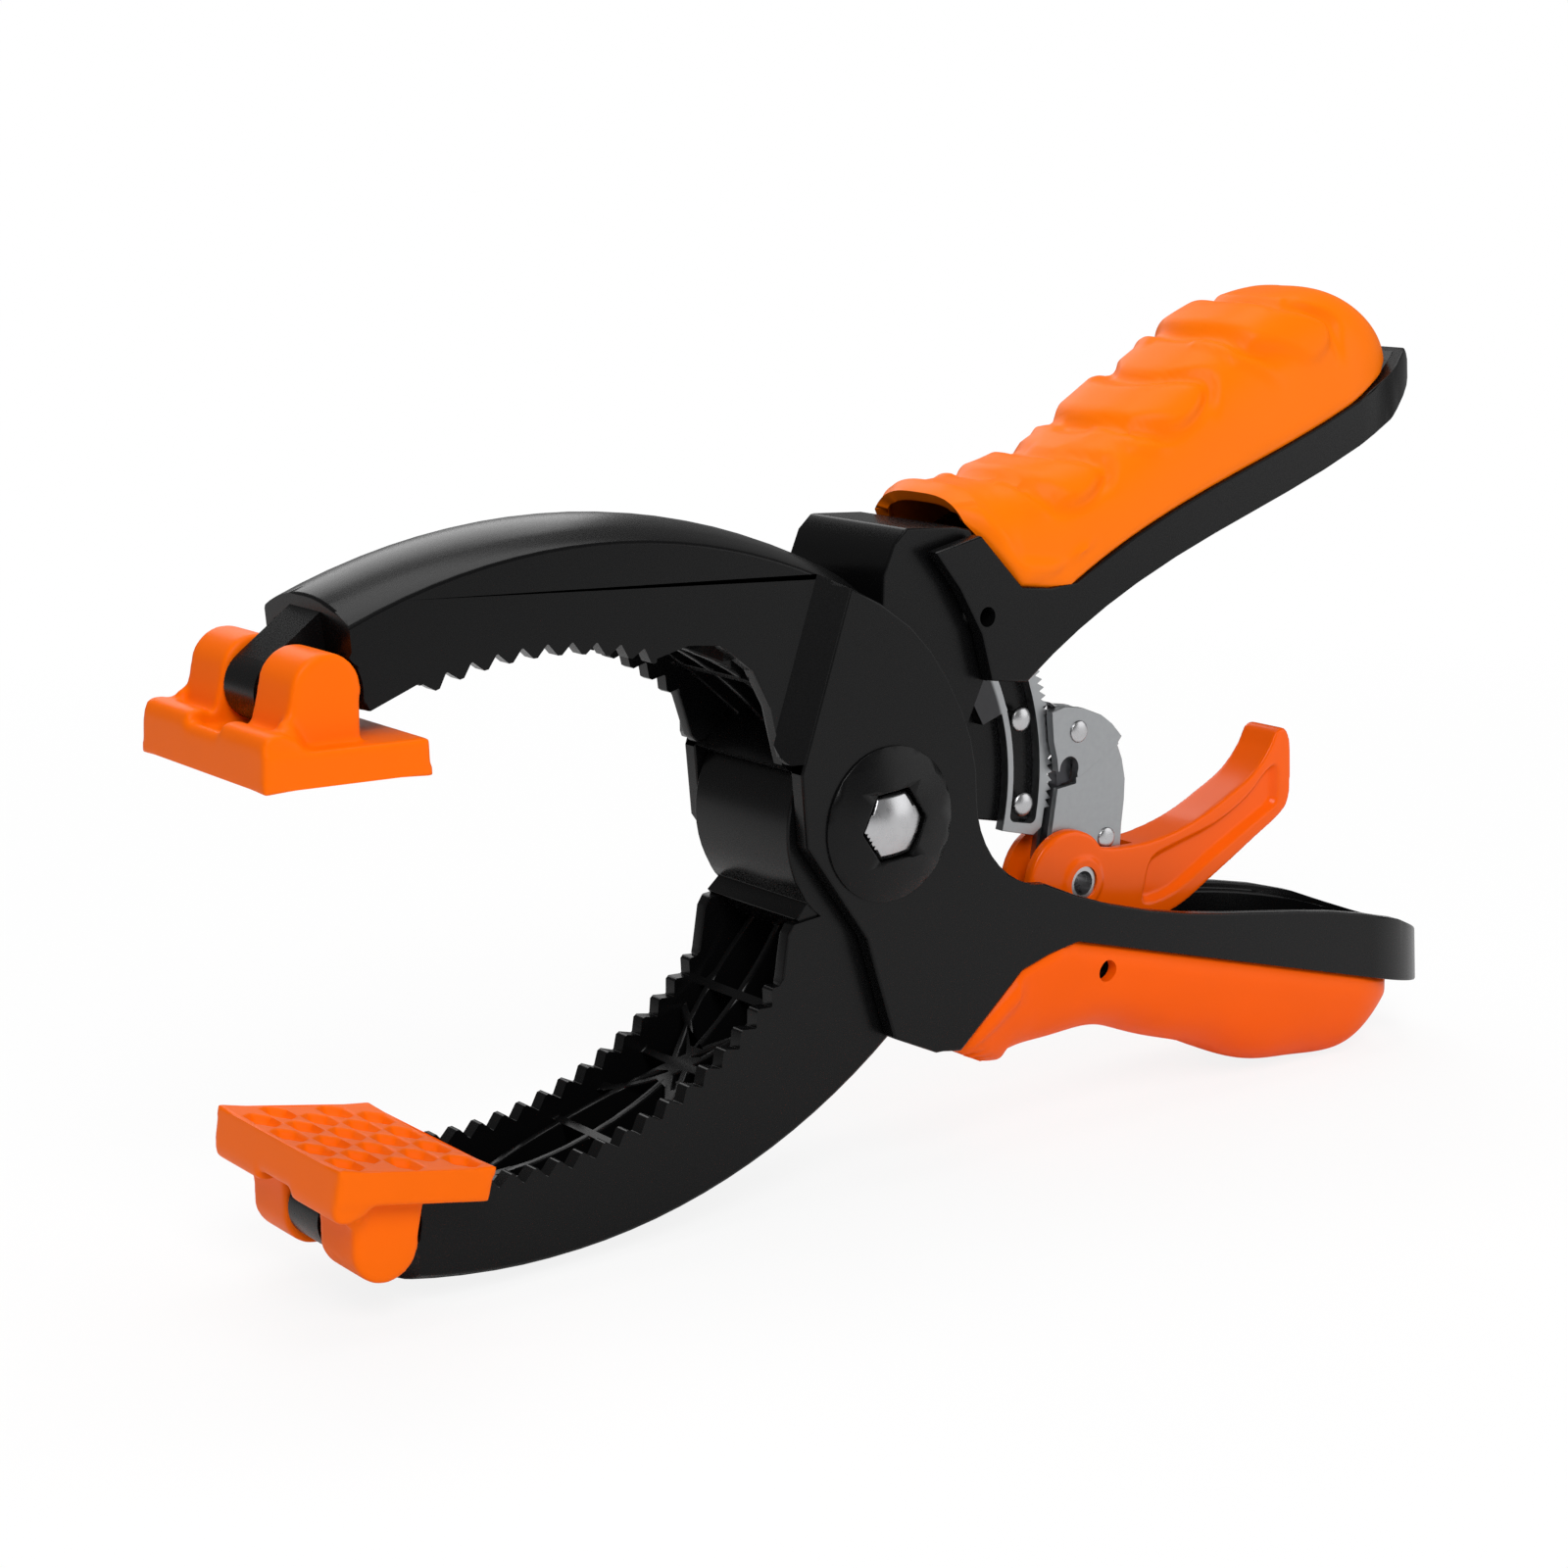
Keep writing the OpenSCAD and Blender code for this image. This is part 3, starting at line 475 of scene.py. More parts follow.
def pad_recess(x, y):
    """Depth of the clamping face at a point: rows of lens-shaped pits in a dished face."""
    across = (x - (PAD_LEFT + PAD_RIGHT) / 2) / ((PAD_RIGHT - PAD_LEFT) / 2)
    along = y / PAD_HALF
    dish = DISH_DEPTH * (1.0 - (across * along) ** 2)
    column = (x - PAD_LEFT - PIT_START) / PIT_STEP[0]
    nearest = min(PIT_COUNT[0] - 1, max(0, round(column)))
    stagger = PIT_STAGGER if nearest % 2 else -PIT_STAGGER
    row = (y - stagger) / PIT_STEP[1] + (PIT_COUNT[1] - 1) / 2
    middle = min(PIT_COUNT[1] - 1, max(0, round(row)))
    dx = abs(column - nearest) * PIT_STEP[0] / PIT_HALF[0]
    dy = abs(row - middle) * PIT_STEP[1] / PIT_HALF[1]
    pit = 1.0 - max(dy + PIT_TAPER * dx, dx)
    return dish + PIT_DEPTH * ease(pit * PIT_SLOPE)


def pad_shape():
    """A pad's plate with its two ears, the swell along its front edge and the pits in its face."""
    shape = bmesh.new()
    plate = [
        (PAD_LEFT, PAD_FACE), (PAD_RIGHT, PAD_FACE),
        (PAD_RIGHT - 0.4, PAD_TOP), (PAD_LEFT + 0.3, PAD_TOP),
    ]
    swell = [
        (PAD_LEFT, PAD_FACE), (PAD_LEFT + 0.1, -5.0), (-10.5, -3.6), (-9.4, -3.0), (-7.8, -3.1),
        (-6.2, -4.2), (-4.4, -5.7), (-4.4, PAD_FACE),
    ]
    valley = [
        (PAD_LEFT, PAD_FACE), (PAD_LEFT + 0.1, -5.6), (-10.3, -4.6), (-9.0, -4.8), (-7.4, -6.2),
        (-1.6, -6.6), (-1.6, PAD_FACE),
    ]
    ear = arc(EAR_R, -14, 176, 28, (0.2, 1.4)) + [
        (-5.5, -0.6), (-6.2, -3.2), (-7.4, PAD_TOP), (-7.4, -8.0), (5.4, -8.0), (5.4, PAD_TOP),
    ]
    prism(shape, plate, -PAD_HALF, PAD_HALF)
    prism(shape, valley, -EAR_NEAR, EAR_NEAR)
    for side in (-1, 1):
        cheek(shape, ear, side, EAR_NEAR, EAR_FAR)
        cheek(shape, swell, side, EAR_NEAR, PAD_HALF - 0.4)
        for step in range(3):
            reach = 0.9 * (3 - step)
            wedge = [
                (-8.4, -8.0), (-8.0 + 0.5 * step, -4.0 + 1.0 * step),
                (-6.0 + 0.4 * step, -3.6 + 1.1 * step), (-2.0, -8.0),
            ]
            cheek(shape, wedge, side, EAR_FAR - 1.0, EAR_FAR + reach - 0.6)
    shape = fused(shape, PAD_CELL)
    soften(shape, 2)
    soften(shape, 8, lambda p: p.z > PAD_FACE + SHARP_BAND)
    for v in shape.verts:
        if v.co.z < PAD_FACE + FACE_SKIN:
            v.co.z += pad_recess(v.co.x, v.co.y)
    pin = bmesh.new()
    prism(pin, circle(PIN_BORE_R, 24), -PIN_BORE_HALF, PIN_BORE_HALF)
    return carved(shape, pin)


# ---- Grips, drawn as the lower one with depths downwards ----

GRIP_HALF = 15.6
GRIP_END = 126.5
GRIP_ROUND = 106.0
SWELL_AT = 105.0
GRIP_THICK = 1.9
GRIP_HOLE = (44.6, -36.0)
GRIP_HOLE_R = 1.9
UPPER_START = 22.0
LOWER_START = 12.5
FLOOR_START = 15.0
FLOOR_DEPTH = 42.0
FLOOR_WAVE = 14.0
SWELL_DEPTH = 70.0
END_RISE = 13.0
# The deeper front of a grip: how much deeper, where and how wide
FRONT_DEPTH = 6.0
FRONT_AT = 19.0
FRONT_WIDTH = 24.0
# The section starts this far below the rim, and the skin ends where it is this narrow
RIM_INSET = 3.0
LEAST_BAND = 0.3
# The cubic of the handle's rim over its length from the first to the last place
RIM_FROM = 25.0
RIM_LENGTH = 106.0
RIM_LINE = (13.2, 73.8, 91.1, 56.2)
# Depths of the grips' front edges, as places along the handle and depths
UPPER_FRONT = [(22, 43.6), (30, 32), (41.7, 29.6)]
UPPER_BAND = 7.9
LOWER_FRONT = [(7, 39.7), (12, 41), (26, 31), (38.5, 28.6)]
LOWER_EDGE = (11.5, 19.7)
LOWER_EDGE_SLOPE = 0.357
FRONT_CUT = [(12.0, -41.0), (15.5, -43.6), (25.5, -49.6), (28.0, -90.0)]
# Power of the cosine and the sine in a grip's section, between a box and a round
SQUARENESS = 0.62
# The hang slot through the upper grip: its radius, its ends along the handle and its heights
HANG_SLOT_R = 1.8
HANG_SLOT_ENDS = (108.0, 114.0)
HANG_SLOT_HEIGHTS = (50.0, 80.0)


def plan_half(x):
    """Half width of a grip at x, seen along its depth."""
    run = max(0.0, (x - GRIP_ROUND) / (GRIP_END - GRIP_ROUND))
    return GRIP_HALF * math.sqrt(max(0.0, 1.0 - run * run))


def grip_floor(x):
    """Depth of the palm side at x: half a wave down to the swell, then up to the end."""
    if x < SWELL_AT:
        run = max(0.0, x - FLOOR_START) / (SWELL_AT - FLOOR_START)
        return FLOOR_DEPTH + FLOOR_WAVE * (1.0 - math.cos(math.pi * run**1.15))
    return SWELL_DEPTH - END_RISE * ((x - SWELL_AT) / (GRIP_END - SWELL_AT)) ** 1.9


def rim_line(x):
    """Depth of the handle's open rim at x."""
    s = (max(x, 30.0) - RIM_FROM) / RIM_LENGTH
    a, b, c, d = RIM_LINE
    return a + b * s - c * s * s + d * s**3


def along_points(x, points):
    """Value of a broken line through points at x."""
    for (x0, z0), (x1, z1) in zip(points, points[1:]):
        if x <= x1:
            return z0 + (z1 - z0) * max(0.0, x - x0) / (x1 - x0)
    return points[-1][1]


def edge_line(x, upper):
    """Depth of a grip's edge at x."""
    if upper:
        if x < UPPER_FRONT[-1][0]:
            return along_points(x, UPPER_FRONT)
        return rim_line(x) + UPPER_BAND
    if x < LOWER_FRONT[-1][0]:
        return along_points(x, LOWER_FRONT)
    return LOWER_EDGE[1] + LOWER_EDGE_SLOPE * (x - LOWER_EDGE[0])


def grip_sheet(upper, relief, stations=150, sides=96):
    """The outer skin of a grip, pushed out by relief(x, degrees round it, distance to its edge)."""
    start = UPPER_START if upper else LOWER_START
    close = GRIP_END
    while edge_line(close, upper) > grip_floor(close) - LEAST_BAND:
        close -= 0.02
    shape = bmesh.new()
    rings = []
    facts = {}
    for i in range(stations + 1):
        x = start + (close - start) * math.sin(math.pi / 2 * i / stations) ** 0.8 * 0.9999
        top = rim_line(x) + RIM_INSET
        front = math.exp(-(((x - FRONT_AT) / FRONT_WIDTH) ** 2))
        deep = grip_floor(x) + FRONT_DEPTH * front
        edge = edge_line(x, upper)
        slope = (edge_line(x + 0.5, upper) - edge) / 0.5
        share = min(1.0, max(0.0, (edge + 0.05 - top) / (deep - top)))
        first = math.asin(share ** (1 / SQUARENESS))
        ring = []
        for j in range(sides + 1):
            a = first + (math.pi - 2 * first) * j / sides
            c, s = math.cos(a), math.sin(a)
            y = -plan_half(x) * math.copysign(abs(c) ** SQUARENESS, c)
            z = -top - (deep - top) * s**SQUARENESS
            vert = shape.verts.new((x, y, z))
            reach = min((-z - edge) / math.hypot(1.0, slope), 1.4 * (x - start))
            if not upper:
                reach = min(reach, near_path((x, z), FRONT_CUT)[0])
            facts[vert] = (x, math.degrees(a), reach)
            ring.append(vert)
        rings.append(ring)
    for before, after in zip(rings, rings[1:]):
        for j in range(sides):
            shape.faces.new((before[j], before[j + 1], after[j + 1], after[j]))
    bmesh.ops.recalc_face_normals(shape, faces=shape.faces)
    if sum(f.normal.z for f in shape.faces) > 0:
        bmesh.ops.reverse_faces(shape, faces=shape.faces)
    shape.normal_update()
    for vert, (x, around, edge) in facts.items():
        vert.co += vert.normal * relief(x, around, edge)
    if not upper:
        for (x0, z0), (x1, z1) in zip(FRONT_CUT, FRONT_CUT[1:]):
            bmesh.ops.bisect_plane(
                shape, geom=shape.verts[:] + shape.edges[:] + shape.faces[:], dist=1e-5,
                plane_co=(x0, 0.0, z0), plane_no=(z1 - z0, 0.0, x0 - x1),
            )
        removed = FRONT_CUT + [(0.0, -90.0), (0.0, -41.0)]
        cut = []
        for face in shape.faces:
            middle = face.calc_center_median()
            if inside((middle.x, middle.z), removed) > 0.0:
                cut.append(face)
        bmesh.ops.delete(shape, geom=cut, context="FACES")
    return shape


def thick(shape, thickness):
    """Gives a sheet a thickness inwards."""
    return modified(shape, "SOLIDIFY", thickness=thickness, offset=-1.0, use_even_offset=False)


def near_path(point, path):
    """Distance from a point to a broken line and how far along it, 0 to 1."""
    best = (1e9, 0.0)
    here = Vector(point)
    spans = len(path) - 1
    for i in range(spans):
        a, b = Vector(path[i]), Vector(path[i + 1])
        t = min(1.0, max(0.0, (here - a).dot(b - a) / (b - a).length_squared))
        gap = (here - a - (b - a) * t).length
        if gap < best[0]:
            best = (gap, (i + t) / spans)
    return best


# Millimetres round the handle for one degree
GIRTH = 0.38
BUMP_RADIUS = 5.4
BUMP_SLOPE = 2.6
RING_RADIUS = 6.4
RING_HALF = 2.3
GROOVE_HALF = 1.9
FOLD_HALF = 1.8
RING_DEPTH = 0.9
GROOVE_DEPTH = 0.55
FOLD_RISE = 0.6
BETWEEN_BUMPS = -0.15
LOWEST = -1.2
# The rolled lips: distance of the crest from the edge, half width, and where the lip ends
UPPER_LIP = (2.8, 2.6, 45.0)
UPPER_LIP_RISE = 0.9
UPPER_LIP_SIDE = -29.0
LOWER_LIP = (2.2, 3.0, 26.0)
EDGE_DROP = 0.9
# Each palm bump: its crest, the groove beyond it and the fold before it, each as a line of places
# along the handle and round it from the top
PALM_BUMPS = (
    ([(40.0, 2.0), (42.0, -6.0), (45.5, -15.5)], [(49.5, -3.0), (52.0, -14.0), (50.5, -24.0)],
     [(33.5, -3.0), (34.5, -14.0), (38.0, -21.0)]),
    ([(62.5, 2.0), (64.5, -7.0), (69.5, -15.5)], [(71.5, -5.0), (76.0, -16.0), (74.5, -25.0)],
     [(56.5, -3.0), (58.5, -16.0), (65.0, -24.0)]),
    ([(87.5, 2.0), (91.0, -12.0), (99.0, -20.0)], [(99.0, -8.0), (104.5, -19.0), (105.0, -28.0)],
     [(80.0, -4.0), (83.0, -16.0), (92.0, -27.0)]),
)


def lip_share(x, edge, lip):
    """How much of a rolled front lip there is at x and a distance from the grip's edge."""
    crest, half, end = lip
    return ease(1.0 - abs(edge - crest) / half) if x < end else 0.0


def edge_drop(edge, width):
    """How far the skin falls in beside its edge, so that the edge looks round."""
    return EDGE_DROP * (1.0 - ease(edge / width)) ** 2


def upper_relief(x, around, edge):
    """Palm bumps, each in a sunken ring with a groove and a fold, and a rolled front lip."""
    side = -abs(90.0 - around) * GIRTH
    lift = BETWEEN_BUMPS
    for crest, groove, fold in PALM_BUMPS:
        gap, _ = near_path((x, side), crest)
        lift += ease((BUMP_RADIUS - gap) / BUMP_SLOPE)
        ring = ease(1.0 - abs(gap - RING_RADIUS) / RING_HALF)
        lift -= RING_DEPTH * ring * ease((side + 24.0) / 6.0)
        gap, way = near_path((x, side), groove)
        lift -= GROOVE_DEPTH * ease(1.0 - gap / GROOVE_HALF) * ease(4.0 * (1.0 - way))
        gap, way = near_path((x, side), fold)
        lift += FOLD_RISE * ease(1.0 - gap / FOLD_HALF) * ease(4.0 * (1.0 - way))
    if side > UPPER_LIP_SIDE:
        lift += UPPER_LIP_RISE * lip_share(x, edge, UPPER_LIP)
    return max(LOWEST, lift) - edge_drop(edge, 0.9)


FINGER_START = 30.0
FINGER_LENGTH = 24.0
FINGER_DEPTH = 0.35
CHAMFER_FROM = 36.0
CHAMFER_WIDTH = 3.4
CHAMFER_DEPTH = 0.9


def lower_relief(x, around, edge):
    """Shallow finger swells, a chamfered top edge and a rolled front lip."""
    side = -abs(90.0 - around) * GIRTH
    wave = math.sin((x - FINGER_START) * 2 * math.pi / FINGER_LENGTH) - 1.0
    swells = FINGER_DEPTH * wave * ease((side + 26.0) / 14.0) * ease((x - 25.0) / 10.0)
    chamfer = -CHAMFER_DEPTH * (1.0 - ease(edge / CHAMFER_WIDTH)) if x > CHAMFER_FROM else 0.0
    return swells + chamfer + lip_share(x, edge, LOWER_LIP) - edge_drop(edge, 0.7)


# ---- Trigger ----

TRIGGER_PIN = (50.2, -24.3)
TRIGGER_HALF = 4.0
TRIGGER_HEAD = (47.2, -23.4)
TRIGGER_HEAD_R = 8.9
TRIGGER_CELL = 0.3
TRIGGER_PIN_BORE = 2.95
TRIGGER_SLOT = [(30, -42), (30, 0), (60, 0), (64, -16), (63.5, -28), (60, -42)]
TRIGGER_SLOT_HALF = 2.3
# The hole for the leg of the trigger's spring
LEG_HOLE = (TRIGGER_PIN[0] + 9, TRIGGER_PIN[1] - 4.5)
LEG_HOLE_R = 1.12
RIVET_ROOM_R = 2.1
# The sunken side of the tail and the raised collar round the pin
TAIL_FROM = 62.0
RECESS_BELOW = -12.0
RECESS_CORE = 1.5
RECESS_DEPTH = 1.25
RECESS_SLOPE = 1.4
COLLAR_FROM = 3.0
COLLAR_RISE = 0.45
COLLAR_R = 4.9
COLLAR_SLOPE = 0.8
TRIGGER_SIDE = [
    (46, -15.2), (51.5, -17.9), (59, -20.1), (68, -20.8), (77.4, -19.7), (86, -17), (92.2, -14.4),
    (96.4, -10.8), (98.4, -8), (100.6, -7.8), (101.9, -10.6), (101.8, -15.5), (101.2, -20.6),
    (98.8, -23.3), (91.9, -26.3), (81.8, -30.6), (72, -34.3), (60, -35.4), (48, -32.2), (44, -24),
]
TRIGGER_RECESS = [
    (64.4, -31.6), (64.6, -27.6), (66.6, -23.6), (72, -22.3), (82.3, -20.8), (90.5, -17.8),
    (95.6, -14.2), (98.4, -14), (98.5, -18.5), (97.6, -21.4), (91, -24), (82, -27.4), (72, -31.4),
]


def curve(points, steps):
    """A smooth closed line through points."""
    count = len(points)
    line = []
    for i in range(count):
        a, b, c, d = (Vector(points[(i + k) % count]) for k in (-1, 0, 1, 2))
        for k in range(steps):
            t = k / steps
            square = (2 * a - 5 * b + 4 * c - d) * t * t
            cube = (3 * b - a - 3 * c + d) * t**3
            line.append(tuple(0.5 * (2 * b + (c - a) * t + square + cube)))
    return line


def inside(point, outline):
    """Distance into an outline; negative outside."""
    gap, _ = near_path(point, outline + outline[:1])
    x, z = point
    odd = False
    for (x0, z0), (x1, z1) in zip(outline, outline[1:] + outline[:1]):
        if (z0 > z) != (z1 > z) and x < x0 + (x1 - x0) * (z - z0) / (z1 - z0):
            odd = not odd
    return gap if odd else -gap


def trigger_shape():
    """The trigger's head and tail, hollow between the cheeks, with sunken sides and its bores."""
    shape = bmesh.new()
    prism(shape, curve(TRIGGER_SIDE, 6), -TRIGGER_HALF, TRIGGER_HALF)
    prism(shape, circle(TRIGGER_HEAD_R, 72, TRIGGER_HEAD), -TRIGGER_HALF, TRIGGER_HALF)
    shape = fused(shape, TRIGGER_CELL)
    soften(shape, 5)
    soften(shape, 10, lambda p: p.x < 52.0 and math.dist((p.x, p.z), TRIGGER_HEAD) < 9.6)
    recess = curve(TRIGGER_RECESS, 3)
    for v in shape.verts:
        x, y, z = v.co
        if x > TAIL_FROM and abs(y) > RECESS_CORE and z < RECESS_BELOW:
            depth = inside((x, z), recess)
            if depth > 0:
                fade = min(1.0, (abs(y) - RECESS_CORE) / 2.0)
                v.co.y -= math.copysign(RECESS_DEPTH * ease(depth / RECESS_SLOPE) * fade, y)
        elif abs(y) > COLLAR_FROM:
            within = COLLAR_R - math.dist((x, z), TRIGGER_PIN)
            v.co.y += math.copysign(COLLAR_RISE * ease(within / COLLAR_SLOPE), y)
    soften(shape, 2)
    slot = bmesh.new()
    prism(slot, TRIGGER_SLOT, -TRIGGER_SLOT_HALF, TRIGGER_SLOT_HALF)
    shape = carved(shape, slot)
    bores = bmesh.new()
    prism(bores, circle(TRIGGER_PIN_BORE, 36, TRIGGER_PIN), -20, 20)
    prism(bores, circle(LEG_HOLE_R, 24, LEG_HOLE), 3.0, 5.0)
    for side in (-1, 1):
        cheek(bores, circle(RIVET_ROOM_R, 24, LOWER_PAWL_RIVET), side, 1.2, 2.9)
    return carved(shape, bores)


# ---- Rivets ----

ARC_HALF = 0.9
WEB_BACK = 3.1
PLATE_FAR = 2.2
CAP_THICK = 0.4
RIVET_CELL = 0.1
RATCHET_RIVET_RADIUS = 41.05
RATCHET_RIVET_TURNS = (8.4, -12.1)
UPPER_PAWL_RIVET = (52.1, 1.7)
LOWER_PAWL_RIVET = (57.7, -18.4)


def dome(shape, centre, base, radius, height, rings=8, around=28):
    """A rivet head that swells from a plane towards low Y."""
    rows = []
    for i in range(rings):
        turn = math.pi / 2 * i / rings
        spread, rise = radius * math.cos(turn), height * math.sin(turn)
        row = []
        for k in range(around):
            a = 2 * math.pi * k / around
            across, up = spread * math.cos(a), spread * math.sin(a)
            row.append(shape.verts.new((centre[0] + across, base - rise, centre[1] + up)))
        rows.append(row)
    tip = shape.verts.new((centre[0], base - height, centre[1]))
    shape.faces.new(rows[0])
    for low, high in zip(rows, rows[1:]):
        for k in range(around):
            j = (k + 1) % around
            shape.faces.new((low[k], high[k], high[j], low[j]))
    for k in range(around):
        shape.faces.new((rows[-1][k], tip, rows[-1][(k + 1) % around]))
    bmesh.ops.recalc_face_normals(shape, faces=shape.faces)


def rivet(shape, at, shank, near, far, head, swell, back=0.0):
    """A rivet along Y with a domed head at its near end, and a flat one behind if back is set."""
    prism(shape, circle(shank, 36, at), near, far)
    prism(shape, circle(head, 36, at), near - swell * 0.3, near + 0.1)
    dome(shape, at, near - swell * 0.25, head, swell * 0.75)
    if back:
        prism(shape, circle(head, 36, at), far, far + back)


# ---- Stage ----

FLOOR_HALF = 4.0
FLOOR_SHADE = 0.9
# The floor's own light grows from a share at the near distance to all of it at the far one
FLOOR_FADE = (0.2, 0.55)
FLOOR_GLOW = 0.86
# Strength of the surroundings for the light they give and where they are seen
WORLD_LEVELS = (0.2, 1.0)
# Name, place, aim, size and power of each lamp
LIGHTS = (
    ("key_light", (-0.45, -0.8, 0.85), (0.0, 0.0, 0.07), 0.55, 8.8),
    ("top_light", (0.1, 0.15, 1.1), (0.0, 0.0, 0.05), 0.8, 6.4),
    ("fill_light", (0.8, -0.7, 0.3), (0.0, 0.0, 0.06), 0.6, 1.9),
    ("rim_light", (0.3, 0.9, 0.6), (0.0, 0.0, 0.06), 0.6, 2.2),
)
CAMERA_AZIMUTH = 37.67
CAMERA_ELEVATION = 12.38
CAMERA_LENS = 67.5
# Millimetres from the bolt to the boss's face, and from there to the camera
BOSS_FACE = 16.3
CAMERA_AWAY = 454.2
CAMERA_LEFT = 16.96
CAMERA_UP = 6.36


def make_floor():
    """A white floor that glows for the camera only, so that it fades into the background."""
    shape = bmesh.new()
    bmesh.ops.create_grid(shape, x_segments=1, y_segments=1, size=FLOOR_HALF)
    mesh = bpy.data.meshes.new("floor")
    shape.to_mesh(mesh)
    shape.free()
    floor = bpy.data.objects.new("floor", mesh)
    bpy.context.scene.collection.objects.link(floor)
    material, tree, shader = finish("floor_white")
    shader.inputs["Base Color"].default_value = (FLOOR_SHADE, FLOOR_SHADE, FLOOR_SHADE, 1.0)
    shader.inputs["Roughness"].default_value = 0.9
    shader.inputs["Specular IOR Level"].default_value = 0.0
    rays = node(tree, "ShaderNodeLightPath")
    glow = node(tree, "ShaderNodeEmission", Strength=1.0)
    place = node(tree, "ShaderNodeTexCoord")
    far = node(tree, "ShaderNodeVectorMath", operation="LENGTH")
    tree.links.new(place.outputs["Object"], far.inputs[0])
    fade = node(tree, "ShaderNodeMapRange")
    fade.inputs["From Min"].default_value = FLOOR_FADE[0]
    fade.inputs["From Max"].default_value = FLOOR_FADE[1]
    fade.inputs["To Min"].default_value = FLOOR_GLOW
    tree.links.new(far.outputs["Value"], fade.inputs["Value"])
    share = node(tree, "ShaderNodeMath", operation="MULTIPLY")
    tree.links.new(rays.outputs["Is Camera Ray"], share.inputs[0])
    tree.links.new(fade.outputs["Result"], share.inputs[1])
    mix = node(tree, "ShaderNodeMixShader")
    tree.links.new(share.outputs["Value"], mix.inputs["Fac"])
    tree.links.new(shader.outputs["BSDF"], mix.inputs[1])
    tree.links.new(glow.outputs["Emission"], mix.inputs[2])
    tree.links.new(mix.outputs["Shader"], tree.nodes["Material Output"].inputs["Surface"])
    mesh.materials.append(material)


def make_lights():
    """White surroundings and four soft lamps."""
    world = bpy.data.worlds.new("studio")
    bpy.context.scene.world = world
    world.use_nodes = True
    tree = world.node_tree
    background = tree.nodes["Background"]
    background.inputs["Color"].default_value = (1.0, 1.0, 1.0, 1.0)
    rays = node(tree, "ShaderNodeLightPath")
    white = node(tree, "ShaderNodeMath", operation="MAXIMUM")
    tree.links.new(rays.outputs["Is Camera Ray"], white.inputs[0])
    tree.links.new(rays.outputs["Is Transmission Ray"], white.inputs[1])
    level = span(tree, white.outputs["Value"], *WORLD_LEVELS)
    tree.links.new(level, background.inputs["Strength"])
    for name, place, aim, size, power in LIGHTS:
        lamp = bpy.data.lights.new(name, "AREA")
        lamp.size = size
        lamp.energy = power
        holder = bpy.data.objects.new(name, lamp)
        bpy.context.scene.collection.objects.link(holder)
        holder.location = place
        sight = Vector(aim) - Vector(place)
        holder.rotation_euler = sight.to_track_quat("-Z", "Y").to_euler()


def make_camera():
    """A long lens at the height of the bench, on the bolt's side of the clamp."""
    azimuth = math.radians(CAMERA_AZIMUTH)
    elevation = math.radians(CAMERA_ELEVATION)
    level = math.cos(elevation)
    ahead = (math.sin(azimuth) * level, math.cos(azimuth) * level, -math.sin(elevation))
    forward = Vector(ahead)
    right = Vector((math.cos(azimuth), -math.sin(azimuth), 0.0))
    up = right.cross(forward)
    boss_face = PIVOT + Vector((0.0, -BOSS_FACE * MM, 0.0))
    lens = bpy.data.cameras.new("camera")
    lens.lens = CAMERA_LENS
    lens.sensor_width = 36.0
    lens.clip_start = 0.01
    camera = bpy.data.objects.new("camera", lens)
    bpy.context.scene.collection.objects.link(camera)
    away, left, rise = (size * MM for size in (CAMERA_AWAY, CAMERA_LEFT, CAMERA_UP))
    camera.location = boss_face - away * forward - left * right + rise * up
    camera.rotation_euler = Matrix((right, up, -forward)).transposed().to_euler()
    bpy.context.scene.camera = camera


# ---- Operators ----


class CLAMP_OT_rivets(bpy.types.Operator):
    """Model the domed rivets of the ratchet arc and of the pawl plates"""

    bl_idname = "clamp.rivets"
    bl_label = "Rivets"

    def execute(self, context):
        shape = bmesh.new()
        for turn in RATCHET_RIVET_TURNS:
            at = polar(RATCHET_RIVET_RADIUS, turn)
            rivet(shape, at, shank=1.3, near=-ARC_HALF, far=WEB_BACK, head=2.1, swell=0.9)
        piece_from(
            placed(fused(shape, RIVET_CELL), STAND), "ratchet_rivet_heads", "inner_lever",
            "bright_steel", replaces=("ratchet_rivets",), smooth=40.0,
        )
        shape = bmesh.new()
        for at, near in (
            (UPPER_PAWL_RIVET, -PLATE_FAR - CAP_THICK),
            (LOWER_PAWL_RIVET, -PLATE_FAR),
        ):
            rivet(shape, at, shank=1.5, near=near, far=PLATE_FAR, head=1.9, swell=0.5, back=0.5)
        piece_from(
            placed(fused(shape, RIVET_CELL), STAND), "pawl_rivet_heads", "trigger",
            "bright_steel", replaces=("pawl_rivets",), smooth=40.0,
        )
        return {"FINISHED"}


class CLAMP_OT_stamped_edges(bpy.types.Operator):
    """Break the edges of the stamped arc, the pawl's front plate, the bolt and its nut"""

    bl_idname = "clamp.stamped_edges"
    bl_label = "Stamped edges"

    def execute(self, context):
        for name, body, slot, radius in (
            ("ratchet_arc", "inner_lever", "steel", 0.12),
            ("pawl_front_plate", "trigger", "steel", 0.1),
            ("pivot_bolt", "outer_lever", "bright_steel", 0.35),
            ("pivot_nut", "outer_lever", "bright_steel", 0.3),
        ):
            # The arc gets the steel with the painted shade near the hub
            finish_name = "arc_steel_painted_shade" if name == "ratchet_arc" else slot
            piece_from(
                rounded_copy(name, radius * MM), name + "_body", body, finish_name,
                replaces=(name,), smooth=28.0, flat=True,
            )
        return {"FINISHED"}


